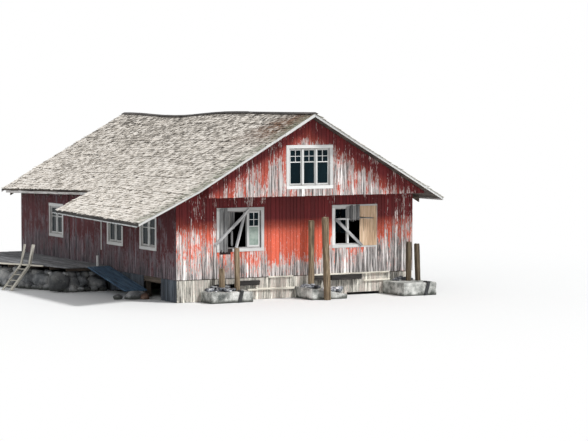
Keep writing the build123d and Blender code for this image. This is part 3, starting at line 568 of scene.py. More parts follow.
def boulder(heap, centre, size, level=3, boxy=0.0, cuts=9, lumps=0.05, turn=None, mark=0):
    """A stone: a ball squared off a little, cut flat on some sides and roughened."""
    rng = heap.rng
    points, faces = BALLS[level]
    p = points / np.abs(points).max(1, keepdims=True) ** boxy
    for _ in range(cuts):
        n = rng.normal(size=3)
        n /= np.linalg.norm(n)
        over = p @ n - rng.uniform(0.68, 0.93)
        p -= np.maximum(over, 0)[:, None] * n * 0.92
    for scale in (2.1, 4.3, 8.7):
        p += points * (ripple(rng, p, scale, 3) * lumps * 2.1 / scale)[:, None]
    angle = rng.uniform(0, TURN) if turn is None else turn
    c, s = math.cos(angle), math.sin(angle)
    p = (p * size) @ np.array([[c, s, 0], [-s, c, 0], [0, 0, 1]]) + centre
    heap.add(p, faces, p, (rng.uniform(0, 1), 0.5, 0.5), mark)


# Roof


def sag(y):
    """How far the ridge hangs below its front end."""
    share = np.maximum(0, y - sag_start) / (roof_end - sag_start)
    return ridge_sag * np.sin(np.pi * share) ** 2 + ridge_end_drop * share**2


def roof_z(x, y):
    fall = (slope * x_mid - sag(y)) / x_mid
    return ridge - sag(y) - fall * np.abs(x - x_mid)


def wave(x, y):
    """Slight unevenness of the old roof."""
    return 0.007 * np.sin(1.3 * y + 0.9 * x) + 0.005 * np.sin(2.7 * y - 1.9 * x + 1.1)


def main_skin(side):
    """One side of the main roof: its surface, from s down the slope and y along the house, and its normal."""

    def surface(s, y):
        x = x_mid + side * s * cosine
        return x, roof_z(x, y) + wave(x, y)

    return surface, np.array([side * sine, 0, cosine])


canopy_cos = 1 / math.hypot(1, canopy_slope)
kink_s = (x_mid - kink) / cosine


def canopy_surface(s, y):
    x = kink - (s - kink_s) * canopy_cos
    return x, kink_z + (x - kink) * canopy_slope + wave(x, y)


def left_edge(y):
    """How far the left eave reaches out behind the canopy."""
    return np.interp(y, (canopy_end, roof_end), left_reach)


def canopy_edge_at(y):
    """How far the canopy's edge reaches out."""
    return np.interp(y, (verge_y, canopy_end), canopy_reach)


def canopy_z(reach):
    return kink_z - canopy_slope * (kink + reach)


def left_s(spare):
    """Where the left eave lies down its slope, and in canopy_s the canopy's, this much further."""
    return lambda y: (x_mid + left_edge(y)) / cosine + spare


def canopy_s(spare):
    return lambda y: kink_s + (kink + canopy_edge_at(y)) / canopy_cos + spare


CUBE_FACES = np.array([(0, 3, 2, 1), (4, 5, 6, 7), (0, 1, 5, 4), (1, 2, 6, 5), (2, 3, 7, 6), (3, 0, 4, 7)])
SHINGLE_BASE, EXPOSURE, SHINGLE_LONG, SHINGLE_WIDE = -0.031, 0.135, 0.25, 0.112


def shingle_rows(heap, surface, normal, s_first, s_last, y_start, y_end):
    """Courses of split shingles up from the eave, whose line s_last gives at each place along it."""
    rng = heap.rng
    run = y_end - y_start
    courses = round((s_last((y_start + y_end) / 2) - s_first) / EXPOSURE)
    for course in range(-1, courses + 1):
        count = int(run / SHINGLE_WIDE)
        widths = rng.uniform(0.055, 0.17, count)
        edges = y_start + np.concatenate([[0], np.cumsum(widths)]) / widths.sum() * run
        keep = rng.uniform(0, 1, count) > (0.03 if course > 0 else 0)
        gap = rng.uniform(0.002, 0.006, count)[keep]
        y0, y1 = edges[:-1][keep] + gap, edges[1:][keep] - gap
        n = len(y0)
        edge = s_last(y0)
        slip = 0.045 * (rng.uniform(0, 1, n) > 0.95)
        low = edge + (s_first - edge) * (max(course, 0) / courses)
        low = low + rng.normal(0, 0.011, n) + 0.008 * np.sin(y0 * 2.3 + course) + slip
        high = np.maximum(low - SHINGLE_LONG, 0.01)
        skew = rng.normal(0, 0.005, n)
        curl = (rng.uniform(0, 1, n) > 0.82) * rng.uniform(0.2, 1, n)
        lift = 0.010 + rng.uniform(0, 0.006, n) + 0.032 * curl
        if course % 9 == 5:  # some courses stand up from the rest
            lift = lift + 0.018 * (np.sin(y0 * 1.1 + course) + rng.normal(0, 0.5, n) > -0.2)
        if course < 0:  # the double course at the eave
            lift, low = lift - 0.022, low - 0.02
        thick = rng.uniform(0.009, 0.016, n)
        twist = rng.normal(0, 0.004, n)
        corners = []
        for side in (0, 1):
            for s, y, h in (
                (high, y0, 0.004 * side),
                (high, y1, 0.004 * side),
                (low + skew, y1, lift + thick * side + twist),
                (low - skew, y0, lift + thick * side - twist),
            ):
                x, z = surface(s, y)
                point = np.stack([x + x_left, y + y_front, z], -1)
                corners.append(point + (SHINGLE_BASE + h + 0 * y)[:, None] * normal)
        local = np.zeros((n, 8, 3))
        local[:, (2, 3, 6, 7), 0] = SHINGLE_LONG
        local[:, (1, 2, 5, 6), 1] = (y1 - y0)[:, None]
        local += rng.uniform(0, SPREAD, (n, 1, 3))
        x, z = surface(low, y0)
        patch = smooth(y0 + 0.45 * (x - x_mid) + 0.5 * np.sin(3 * x + y0), 1.5, -1.1)
        brown = patch * smooth(x - x_mid, -2.4, -0.6) * (x < x_mid) * rng.uniform(0.3, 1.4, n)
        green = smooth(y0, verge_y + 0.9, verge_y) * rng.uniform(0.1, 0.9, n)
        tone = rng.beta(1.1, 1.1, n) + 0.07 * (low - 2.6)
        tones = np.stack([tone, np.clip(brown, 0, 0.9), green], -1)
        faces = (CUBE_FACES + 8 * np.arange(n)[:, None, None]).reshape(-1, 4)
        heap.add(np.stack(corners, 1), faces, local, np.repeat(tones, 8, 0))


def roof_strip(heap, surface, normal, ys, down, lift, wide):
    """A board along the smooth roof: down and lift place its four corners at each of the ys."""
    y = ys[:, None] + np.zeros(4)
    x, z = surface(down + 0 * y, y)
    points = np.stack([x + x_left, y + y_front, z - wave(x, y)], -1) + (lift + 0 * y)[..., None] * normal
    grain = np.stack([y, 0 * y, 0 * y], -1)
    grain[:, (1, 2), 1] = wide
    grain += heap.rng.uniform(0, SPREAD, 3)
    skin(heap, points, grain, (heap.rng.uniform(0, 1), 0.5, 0.5))


def sheathing(heap, surface, normal, s_first, s_last, y_start, y_end):
    """Roof boards along the house that follow the sagging roof and its edge."""
    wide, top, bottom = 0.16, -0.034, -0.099
    count = round((s_last(y_end) - s_first) / wide)
    ys = np.linspace(y_start, y_end, max(2, int((y_end - y_start) / 1.1)) + 1)
    for n in range(count):
        s0, s1 = (s_first + (s_last(ys) - s_first) * m / count for m in (n, n + 1))
        down = np.stack([s0, s1 - 0.006, s1 - 0.006, s0], 1)
        roof_strip(heap, surface, normal, ys, down, np.array([bottom, bottom, top, top]), wide)


left, right = main_skin(-1), main_skin(1)
canopy = canopy_surface, np.array([-canopy_slope, 0, 1]) * canopy_cos
shingle_start, shingle_end = verge_y - 0.055, roof_end + 0.03
eave_s = (x_mid + eave_reach) / cosine
for seed, name, *row in (
    (11, "left", *left, 0.10, fixed(kink_s + 0.02), shingle_start, shingle_end),
    (12, "canopy", *canopy, kink_s + 0.16, canopy_s(0.0), shingle_start, canopy_end + 0.05),
    (13, "left_eave", *left, kink_s + 0.15, left_s(-0.01), canopy_end - 0.02, shingle_end),
    (14, "right", *right, 0.10, fixed(eave_s + 0.05), shingle_start, shingle_end),
):
    pile(seed, f"{name}_shingles", "roof_shingles", "shingles", shingle_rows, [row])

for seed, name, *rows in (
    (
        15, "left", (*left, 0.02, fixed(kink_s), verge_y, roof_end),
        (*left, kink_s, left_s(0), canopy_end, roof_end),
    ),
    (16, "right", (*right, 0.02, fixed(eave_s), verge_y, roof_end)),
    (17, "canopy", (*canopy, kink_s + 0.01, canopy_s(0), verge_y, canopy_end)),
):
    pile(seed, f"{name}_roof_boards", "bare_timber", "roof_boards", sheathing, rows, f"{name}_roof")

# Overlapping boards along both sides of the ridge
heap = Heap(18)
ridge_end = roof_end - 0.04
for side in (left, right):
    y = shingle_start - 0.02
    while y < ridge_end:
        end = y + heap.rng.uniform(2.4, 3.9)
        if ridge_end - end < 0.6:
            end = ridge_end
        reach = heap.rng.uniform(0.115, 0.135)
        lift, tilt = heap.rng.uniform(0.0, 0.006), heap.rng.normal(0, 0.004)
        lift = 0.004 + np.array([0, 0, 0.022, 0.022]) + lift + tilt * np.arange(-2, 3)[:, None] / 2
        down = np.array([-0.012, reach, reach, -0.012])
        roof_strip(heap, *side, np.linspace(y, end, 5), down, lift, reach)
        y = end + 0.008
heap.build("ridge_boards", "ridge_boards", "ridge_wood", "ridge_cap")

# Verge boards and fascias


def slope_board(heap, low, high, y, out, paint, wide=0.105, thick=0.025, drop=0.03):
    """A board on a roof's end, this far below two points of its top, its ends cut plumb."""
    start = at(low[0], y, low[1])
    along, run = line(start, at(high[0], y, high[1]))
    down = np.array([along[2], 0, -along[0]]) * (1 if along[0] > 0 else -1)
    plumb = -wide * along[2] / abs(along[0])
    board(
        heap, start + down * drop, along, down, out, run, wide, thick,
        foot=(0, plumb), top=(0, plumb), step=0.6, warp=0.003, paint=paint,
    )


def main_point(x, y=verge_y):
    return x, float(roof_z(x, y))


def canopy_point(y):
    reach = float(canopy_edge_at(y))
    return -reach, canopy_z(reach)


right_eave_x = width + eave_reach
left_joint, right_joint, join = 3.55, 7.1, left_reach[0]
back_ridge = main_point(x_mid, roof_end)
for seed, name, old, parts in (
    (21, "left", "left_verge_board", (
        (main_point(kink), main_point(left_joint + 0.06), verge_y, FRONT, 0.85, 0.085),
        (main_point(left_joint - 0.08), main_point(x_mid), verge_y - 0.006, FRONT, 0.75, 0.11, 0.026, 0.018),
    )),
    (22, "right", "right_verge_board", (
        (main_point(right_eave_x), main_point(right_joint), verge_y, FRONT, 0.85, 0.075),
        (main_point(right_joint), main_point(x_mid), verge_y - 0.003, FRONT, 0.75, 0.08),
    )),
    (23, "canopy", "canopy_verge_boards", (
        (canopy_point(verge_y), (kink, kink_z), verge_y, FRONT, 0.9, 0.085),
        (canopy_point(canopy_end), (-join, canopy_z(join)), canopy_end, BACK, 0.6),
    )),
    (24, "back", "back_verge_board", [
        (main_point(x, roof_end), back_ridge, roof_end, BACK, 0.7) for x in (-left_reach[1], right_eave_x)
    ]),
):
    pile(seed, f"{name}_verge_trim", "white_trim", "white_paint", slope_board, parts, old)


def eave_boards(heap, start, end, out, wide, drop, paint):
    """Boards end to end along an eave, this far below its top edge."""
    along, run = line(start, end)
    spot = 0.0
    while spot < run - 0.01:
        stop = min(run, spot + heap.rng.uniform(3.4, 5.0))
        if run - stop < 1.0:
            stop = run
        corner = start + along * (spot + 0.002) - UP * (wide + drop)
        size = stop - spot - 0.004, wide, 0.025
        board(heap, corner, along, UP, out, *size, step=0.6, warp=0.003, paint=paint)
        spot = stop


heap = Heap(25)
eave = main_point(right_eave_x)
start, end = (at(eave[0], y, eave[1]) for y in (verge_y, roof_end))
eave_boards(heap, start, end, RIGHT, 0.11, 0.03, 0.6)
ends = [(-float(left_edge(y)), y) for y in (canopy_end + 0.03, depth)]
start, end = (at(x, y, float(roof_z(x, y))) for x, y in ends)
eave_boards(heap, start, end, LEFT, 0.085, 0.085, 0.45)
heap.build("eave_trim", "white_trim", "white_paint", "eave_fascias")
heap = Heap(26)
(x0, z0), (x1, z1) = canopy_point(verge_y), canopy_point(canopy_end)
start, end = at(x0, verge_y, z0), at(x1, canopy_end, z1)
eave_boards(heap, start, end, LEFT, 0.11, 0.03, 0.5)
# the canopy's fascia is near-black: painted shade under the shingles
heap.build("canopy_eave_board", "white_trim", "ridge_wood", "canopy_fascia")


def trough(heap, a, b, outer, inner):
    """A half round between two places, open at the top."""
    arc = np.linspace(math.pi, 2 * math.pi, 11)
    ring = [(r * math.cos(f), r * math.sin(f)) for r, turn in ((outer, 1), (inner, -1)) for f in arc[::turn]]
    section = np.array([[p + RIGHT * u + UP * v for u, v in ring] for p in (a, b)])
    skin(heap, section, section, EVEN)


def gutter_at(share):
    """A place along the gutter, which hangs below the canopy's edge."""
    return start + (end - start) * share + hang


hang = LEFT * 0.062 - UP * 0.118
heap = Heap(27)
count, reach = 4, 1.03  # lengths, and how far they reach, past the canopy's end
for n in range(count):
    a, b = (gutter_at(m / count * reach) for m in (n, n + 1))
    sway = UP * heap.rng.uniform(-0.006, 0.006)
    trough(heap, a + sway, b - (b - a) * 0.01 + sway, 0.036, 0.033)
heap.build("canopy_gutter_lengths", "gutter_metal", "gutter_metal", "canopy_gutter")
heap = Heap(28)
for share in np.linspace(0.05, 0.95, 9):
    trough(heap, gutter_at(share) - BACK * 0.012, gutter_at(share) + BACK * 0.012, 0.043, 0.037)
heap.build("gutter_brackets", "gutter_metal", "iron")

# Wall boards. Each paint gives how much is left at some places and how faded and sunlit it is, which also
# paints some shade and sunlight on the walls.


def paint_front(p):
    x, z = p[:, 0] - x_left, p[:, 2]
    left = 0.10 + 0.16 * smooth(z, 0.85, 1.1) + 0.22 * smooth(z, 1.1, 1.6) + 0.42 * smooth(z, 2.2, 2.6)
    # more between the windows and left of the left one, less at both edges and under the right one
    left = left + 0.34 * smooth(x, 3.2, 3.7) * (1 - smooth(x, 5.5, 6.0)) * smooth(z, 1.05, 1.4)
    left = left + 0.18 * smooth(x, 0.7, 1.1) * smooth(z, 1.5, 1.8) * (1 - smooth(z, 2.2, 2.6))
    left = left - 0.12 * (1 - smooth(x, 0.3, 1.0)) * (1 - smooth(z, 2.3, 2.7))
    left = left - 0.14 * smooth(x, 5.8, 6.1) * (1 - smooth(z, 1.6, 1.9))
    left = left - 0.20 * smooth(x, 7.5, 8.1) * (1 - smooth(z, 2.2, 2.9)) - 0.06 * smooth(x, 7.8, 8.4)
    # the deep colour at the top is painted shadow of the jetty, the faded colour lower down partly painted
    # sunlight
    return left, 0.05 + 0.9 * smooth(z, 2.75, 2.2)


def paint_gable(p):
    x, z = p[:, 0] - x_left, p[:, 2]
    edge = roof_z(x, 0.0 * x) - z  # most is left close under the roof
    left = 0.34 + 0.46 * smooth(edge, 1.2, 0.45) + 0.22 * np.exp(-(((x - 2.95) / 0.25) ** 2))
    left = left + 0.10 * smooth(x, 5.6, 6.4) * smooth(z, 4.3, 4.9)
    # the deep colour close under the roof is painted shadow of the verge
    return left, 0.05 + 0.5 * smooth(edge, 0.5, 1.1)


def paint_side(p):
    # less low down and towards the back
    y, z = p[:, 1] - y_front, p[:, 2]
    left = 0.20 + 0.2 * smooth(z, 0.8, 1.3) + 0.42 * smooth(z, 1.2, 2.4)
    # the paint is nearly all the deep colour: painted shade
    return left - 0.10 * smooth(y, 6.0, 8.0) * (1 - smooth(z, 2.4, 3.2)), 0.1


def paint_skirt(p):
    return 0.30 + 0.16 * np.sin(p[:, 0] * 1.7) ** 2, 0.8


def hole_of(u, v, size):
    """The edges of a window's hole, 4 mm larger than the window."""
    w, h = size
    return u - w / 2 - 0.004, u + w / 2 + 0.004, v - h / 2 - 0.004, v + h / 2 + 0.004


SIDE_SIZE, FRONT_SIZE = (1.42, 1.26), (1.80, 1.50)
FRONT_X, UPPER_X, SIDE_Y = (2.40, 6.86), 4.65, (2.29, 5.16, 10.75)
window_foot = panel_foot - 1.9
front_v = window_foot + FRONT_SIZE[1] / 2
upper_v = panel_foot + 0.22 + FRONT_SIZE[1] / 2
side_v = window_foot + SIDE_SIZE[1] / 2
front_holes = [hole_of(x, front_v, FRONT_SIZE) for x in FRONT_X]
upper_hole = hole_of(UPPER_X, upper_v, FRONT_SIZE)
side_holes = [hole_of(y, side_v, SIDE_SIZE) for y in SIDE_Y]

jetty_left = 0.83
broken = (1.60, 2.02)  # where boards are broken off under the left window
slit = (9.45 - 0.05, 9.45 + 0.05)  # the dark gap in the left wall
lap = 0.018  # boards reach this far past a corner
under_roof = 0.125  # and end this far below the roof's top
# the side walls' boards end below roof and rafters, whose plumb thicknesses come off with a little play
rafter_foot = roof_z(0.0, 0.0) - 0.1155 - 0.1617 - 0.014
canopy_foot = canopy_z(0) - 0.1107 - 0.1107 - 0.012
foot = fixed(board_foot)


def front_top(u):
    if u >= jetty_left:
        return panel_foot - 0.004
    return (roof_z(u, 0.0) if u > kink else canopy_z(-u)) - under_roof


clad(31, "front_boards", "red_paint", [(
    at(0, 0, 0), RIGHT, FRONT, (-lap, kink, jetty_left, *broken, width + lap), foot, front_top,
    front_holes + [(*broken, window_foot - 0.085, window_foot + 0.02)],
)], paint_front)
stretches = [(
    at(0, panel_y, 0), RIGHT, FRONT, (jetty_left - lap, x_mid, width + lap), fixed(panel_foot - 0.012),
    lambda u: roof_z(u, verge_y) - under_roof, [upper_hole],
)]
for x, out in ((jetty_left, LEFT), (width, RIGHT)):
    top = fixed(float(roof_z(x, panel_y)) - under_roof)
    stretches.append((at(x, panel_y, 0), BACK, out, (0, -panel_y - 0.004), fixed(panel_foot - 0.008), top))
clad(32, "gable_boards", "red_paint", stretches, paint_gable)
clad(33, "left_boards", "side_paint", [(
    at(0, 0, 0), BACK, LEFT, (0.0, 6.22, 6.50, canopy_end, *slit, depth), foot,
    lambda u: canopy_foot if u < canopy_end else rafter_foot, side_holes + [(*slit, 0.0, 3.3)],
)], paint_side)
clad(34, "right_boards", "side_paint", [
    (at(width, 0, 0), BACK, RIGHT, (0.0, depth), foot, fixed(rafter_foot), side_holes),
], paint_side)
clad(35, "back_boards", "red_paint", [(
    at(0, depth, 0), RIGHT, BACK, (-lap, x_mid, width + lap), foot,
    lambda u: roof_z(u, depth) - under_roof, front_holes + [upper_hole],
)], paint_side)

# Skirt boards, with the missing ones
low_foot = fixed(0.012)
missing, short = (1.38, 2.18), (6.56, 7.85)
pile(36, "front_skirt_boards", "grey_boards", "grey_boards", cladding, [(
    at(0, 0.03, 0), RIGHT, FRONT, (0.002, *missing, *short, width - 0.002), low_foot,
    fixed(board_foot - 0.03), [(*missing, 0.395, 0.56), (*short, -0.1, 0.09)],
)], "front_skirt", wide=0.115, thick=0.026, gap=0.009, warp=0.001, paint=paint_skirt)


def rising_foot(u):
    """The left skirt's foot: one board stands low, the next ones high and lower towards the back."""
    return 0.012 if u < 2.9 else 0.27 + (0.06 - 0.27) * (u - 2.74) / (5.7 - 2.74)


# the left skirt gets dark blue painted shade, the right one pale boards
for seed, name, look, x, out, parts, old in (
    (37, "left", "side_wood", 0.03, LEFT, (
        ((0.002, 1.28), low_foot, 0.125, 0.012), ((2.74, 2.90, 5.70), rising_foot, 0.145, 0.06),
    ), ["side_skirts"]),
    (38, "right", "broken_wood", width - 0.03, RIGHT, [((0.03, 5.70), low_foot, 0.125, 0.012)], []),
):
    heap = Heap(seed)
    for breaks, low, wide, ragged in parts:
        more = {"wide": wide, "thick": 0.026, "gap": 0.008, "ragged": ragged}
        cladding(heap, at(x, 0, 0), BACK, out, breaks, low, fixed(board_foot - 0.02), **more)
    heap.build(f"{name}_skirt_boards", "grey_boards", look, *old)

# Windows: the measures of casing, lining, mullions and glazing bars, and the glass's depth

CASING, CASING_T, LINING, LINING_D, MULLION, GLAZE, GLASS_D = 0.11, 0.028, 0.036, 0.11, 0.06, 0.02, -0.048
PLAY = 0.003  # between a sash and its frame


def sash(heap, place, u0, u1, height, split=0.36, columns=2, rows=2, rail=0.042):
    """An outer frame, and small panes over a large one."""
    u0, u1, v0, v1 = u0 + PLAY, u1 - PLAY, -height + PLAY, height - PLAY
    a, b, upper = u0 + rail, u1 - rail, v1 - rail
    frame_bars = [(u0, a, v0, v1), (b, u1, v0, v1), (a, b, v0, v0 + rail * 1.25), (a, b, upper, v1)]
    bars(heap, place, frame_bars, GLASS_D - 0.018, GLASS_D + 0.016)
    cross = v1 - (v1 - v0) * split
    levels = [cross + (upper - cross) * n / rows for n in range(1, rows)]
    places = [a + (u1 - u0 - 2 * rail) * n / columns for n in range(1, columns)]
    inner_bars = [(a, b, cross - 0.016, cross + 0.016)]
    inner_bars += [(a, b, v - GLAZE / 2, v + GLAZE / 2) for v in levels]
    inner_bars += [(u - GLAZE / 2, u + GLAZE / 2, cross, upper) for u in places]
    bars(heap, place, inner_bars, GLASS_D - 0.010, GLASS_D + 0.010)


def between(size, mullions):
    """The stretches between the lining and the mullions."""
    a = size[0] / 2 - CASING - LINING
    edges = [-a] + [u + s * MULLION / 2 for u in mullions for s in (-1, 1)] + [a]
    return list(zip(edges[::2], edges[1::2]))


def window(heap, place, size, mullions, sashes=True, gap=None, transom=None, lining=0.5, **panes):
    """Casing, lining, mullions and sashes; gap is the stretch where the sill board is broken off."""
    w, h = size[0] / 2, size[1] / 2
    a, b = w - CASING, h - CASING
    c, d = a - LINING, b - LINING
    bars(heap, place, [(-w, -a, -b, b), (a, w, -b, b)], 0, CASING_T, paint=0.85)
    bars(heap, place, [(-w, w, b, h)], 0, CASING_T + 0.003, paint=0.85)
    sills = [(-w, gap[0], -h, -b), (gap[1], w, -h, -b)] if gap else [(-w, w, -h, -b)]
    bars(heap, place, sills, 0, CASING_T + 0.004, paint=0.72)
    linings = [(-a, -c, -b, b), (c, a, -b, b), (-c, c, -b, -d), (-c, c, d, b)]
    # the linings get less paint and a darker tone, partly painted shade in the recess
    bars(heap, place, linings, -LINING_D, -0.008, paint=lining, tone=lining / 3)
    uprights = [(u - MULLION / 2, u + MULLION / 2, -d, d) for u in mullions]
    bars(heap, place, uprights, -LINING_D, 0.008, paint=0.8)
    if transom:
        bar(heap, place, -c, c, transom - 0.03, transom + 0.03, -LINING_D + 0.004, -0.004, paint=0.6)
    for u0, u1 in between(size, mullions) if sashes else ():
        sash(heap, place, u0, u1, d, **panes)


third = (FRONT_SIZE[0] - 2 * CASING) / 3
pair = (-third / 2, third / 2)
casement_mullion = FRONT_SIZE[0] / 2 - CASING - LINING - 0.44 - MULLION / 2
clear = between(FRONT_SIZE, (casement_mullion,))[1]
half = FRONT_SIZE[1] / 2 - CASING - LINING
casement_split = 0.42
left_place, right_place = ((at(x, 0, front_v), RIGHT, FRONT) for x in FRONT_X)


def windows(seed, name, places, old, **panes):
    """A piece of windows, each given as window takes it."""
    pile(seed, name, "white_trim", "white_paint", window, places, old, **panes)


row = (at(UPPER_X, panel_y, upper_v), RIGHT, FRONT), FRONT_SIZE, pair
windows(41, "upper_window_trim", [row], "upper_window_frame", rail=0.032)
heap = Heap(42)
window(heap, left_place, FRONT_SIZE, (casement_mullion,), False, gap=(-0.79, -0.31), lining=0.1)
window(heap, right_place, FRONT_SIZE, (-third / 2,), False, transom=0.25)
heap.build("front_window_trim", "white_trim", "white_paint", "front_window_frames")
heap = Heap(43)
sash(heap, left_place, *clear, half, casement_split)
heap.build("casement_trim", "white_trim", "white_paint", "left_casement")
heap = Heap(48)
u0, u1 = clear[0] + 0.04, clear[1] - 0.04
lift = half - casement_split * 2 * half
for v0, v1, mark in ((-half + 0.045, lift + 0.004, 1), (lift + 0.005, half - 0.035, 0)):
    prism(heap, left_place, [(u0, v0), (u1, v0), (u1, v1), (u0, v1)], GLASS_D - 0.004, GLASS_D, mark)
heap.build("casement_panes", "window_glass", "glass clouded_pane", "casement_glass")
windows(44, "side_window_trim", [
    ((at(x, y, side_v), *ways), SIDE_SIZE, (0,)) for y in SIDE_Y
    for x, ways in ((0, (FRONT, LEFT)), (width, (BACK, RIGHT)))
], "side_window_frames", columns=1, rows=1, rail=0.03)
windows(45, "back_window_trim", [
    ((at(x, depth, v), LEFT, BACK), FRONT_SIZE, pair)
    for x, v in ((FRONT_X[0], front_v), (FRONT_X[1], front_v), (UPPER_X, upper_v))
], "back_window_frames")

# Broken boards in the front windows


def torn_board(heap, place, u0, u1, foot, top, back, tear, teeth=4):
    """An upright board whose lower end is splintered into strips."""
    rng = heap.rng
    ways, thick = (UP, *place[1:]), 0.022
    body = foot + tear
    # the upright boards are kept darker than the slanted ones over them, partly painted shade
    tone, end = rng.uniform(0.02, 0.5), (rng.uniform(-0.03, 0), 0)
    board(
        heap, on(place, u0, body, back), *ways, top - body, u1 - u0, thick, warp=0.002, tone=tone, top=end,
    )
    cuts = np.linspace(u0, u1, teeth + 1)
    for a, b in zip(cuts, cuts[1:]):
        low = body - rng.uniform(0.15, 1.0) * tear
        lean = rng.uniform(-0.03, 0.03)
        size = body - low + 0.004, b - a, thick - 0.003
        board(heap, on(place, a, low, back + 0.001), *ways, *size, foot=(lean, -lean), step=1, tone=tone)


def cross_board(heap, place, start, end, back):
    """A board nailed slantwise over a window."""
    a, b, out = on(place, *start, back), on(place, *end, back), place[2]
    ends = {"foot": (0.0, 0.03), "top": (-0.02, 0.01)}
    side = np.cross(out, line(a, b)[0])
    plank(heap, a, b, side, out, 0.105, 0.022, **ends, warp=0.002, tone=0.95, chamfer=0.004)


heap = Heap(46)
on_casing, in_frame = CASING_T + 0.0045, -0.067
for place, u0, u1, foot, top, back, *more in (
    (left_place, -0.798, -0.66, -0.752, 0.742, on_casing, 0.09),
    (left_place, -0.638, -0.502, -0.792, 0.748, on_casing, 0.09),
    (left_place, -0.48, -0.352, -0.09, 0.604, in_frame, 0.12),
    (left_place, -0.332, -0.186, -0.03, 0.604, in_frame, 0.12),
    (left_place, -0.332, -0.262, -0.58, -0.03, in_frame, 0.07, 2),
    (right_place, -0.332, -0.226, 0.246, 0.702, on_casing, 0.08),
    (right_place, -0.208, -0.098, 0.186, 0.738, on_casing, 0.08),
    (right_place, -0.084, 0.034, 0.158, 0.724, on_casing, 0.08),
    (right_place, 0.048, 0.182, 0.196, 0.744, on_casing, 0.08),
):
    torn_board(heap, place, u0, u1, foot, top, back, *more)
cross_board(heap, left_place, (0.16, 0.59), (-0.18, -0.62), on_casing)
cross_board(heap, left_place, (-0.99, -0.51), (0.32, 0.67), on_casing + 0.0225)
cross_board(heap, right_place, (-0.79, 0.27), (0.27, -0.69), on_casing + 0.016)
heap.build("broken_boards", "grey_boards", "broken_wood", "window_boards")

heap = Heap(47)
ply = [
    (0.185, -0.695), (0.40, -0.690), (0.62, -0.697), (0.875, -0.692), (0.877, -0.2), (0.872, 0.3),
    (0.875, 0.694), (0.5, 0.69), (0.186, 0.695), (0.188, 0.32), (0.42, 0.300), (0.62, 0.295),
    (0.755, 0.275), (0.74, 0.248), (0.55, 0.245), (0.35, 0.262), (0.187, 0.250), (0.184, -0.2),
]
prism(heap, right_place, ply, CASING_T + 0.0043, CASING_T + 0.0193)
heap.build("plywood_sheet", "plywood", "ply_wood", "plywood_panel")

# Mooring posts and fender beams


def post(heap, x, y, foot, top, wide, lean=0.0, tone=0.6):
    """A squared, split and worn timber post that leans sideways by this much."""
    rng = heap.rng
    k = 28
    zs = np.linspace(foot, top, max(6, int((top - foot) / 0.10)))
    angle = np.linspace(0, 2 * math.pi, k, endpoint=False)
    cos, sin = np.cos(angle), np.sin(angle)
    square = 1 / (np.abs(cos) ** 5 + np.abs(sin) ** 5) ** (1 / 5)
    splits = [(rng.uniform(0, TURN), rng.uniform(0.10, 0.2), rng.uniform(0, TURN)) for _ in range(4)]
    phase = rng.uniform(0, TURN, 4)
    rows, grains = [], []
    for z in zs:
        uneven = 0.02 * math.sin(3 * z + phase[0]), 0.015 * np.sin(5 * angle + 2 * z + phase[1])
        r = wide / 2 * square * (1 + uneven[0] + uneven[1])
        r = r * (1 + 0.012 * rng.normal(size=k))
        for centre, broad, turn in splits:
            away = np.angle(np.exp(1j * (angle - centre - 0.1 * math.sin(z * 2 + turn))))
            r = r * (1 - 0.13 * np.exp(-((away / broad) ** 2)) * (0.5 + 0.5 * math.sin(1.3 * z + turn)))
        level = np.full(k, z)
        if z == zs[-1]:  # the worn top
            level = z - 0.03 * np.abs(np.sin(angle * 1.5 + phase[2])) - 0.012 * rng.uniform(0, 1, k)
            r = r * 0.93
        middle = x + lean * ((z - foot) / (top - foot))
        rows.append(np.stack([x_left + (middle + r * cos), y_front + (y + r * sin), level], -1))
        grains.append(np.stack([level, r * cos, r * sin], -1))
    centre = rows[-1].mean(0)
    rows.append(centre + (rows[-1] - centre) * 0.55 + UP * 0.006)
    grains.append(grains[-1] * np.array([1, 0.55, 0.55]))
    skin(heap, np.array(rows), np.array(grains) + rng.uniform(0, SPREAD, 3), (tone, 0.5, 0.5))


left_top_z, right_top_z = (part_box(name)[1].z for name in ("left_pier", "right_pier"))
pile(51, "rough_posts", "post_timber", "post_wood", post, (
    (1.545, -0.30, left_top_z, 1.15, 0.165), (2.055, -0.45, left_top_z, 1.83, 0.16, -0.02),
    (5.000, -0.25, 0.22, 2.68, 0.180, 0.02), (5.010, -1.403, 0.002, 2.85, 0.200, -0.085),
    (8.770, -0.48, right_top_z, 1.84, 0.160, 0.02, 0.2), (9.075, -0.62, right_top_z, 1.77, 0.165, -0.05, 0.1),
), "mooring_posts")

heap = Heap(52)
# the near-black beams (mark 0) right under the pale ledges (mark 1) are partly painted shadow of the ledges
for x0, x1, low, high, thick, mark in (
    (2.18, 3.08, 0.50, 0.66, 0.15, 0), (2.65, 4.47, 0.31, 0.38, 0.06, 1),
    (5.16, 5.64, 0.57, 0.735, 0.15, 0), (5.86, 7.08, 0.55, 0.735, 0.15, 0),
    (7.20, 8.28, 0.46, 0.51, 0.06, 1), (5.18, 6.62, 0.737, 0.785, 0.16, 1),
    (6.63, 8.25, 0.73, 0.78, 0.08, 1), (3.45, 4.42, 0.73, 0.775, 0.06, 1),
):
    board(
        heap, at(x0, 0.0015, low), RIGHT, UP, FRONT, x1 - x0, high - low, thick, step=0.3, chamfer=0.008,
        warp=0.003, foot=(0, 0.02), top=(-0.03, 0.0), mark=mark, tone=0.9 * mark,
    )
heap.build("rough_fenders", "post_timber", "ridge_wood pale_wood", "fender_beams")

# Concrete piers, rubble and straps


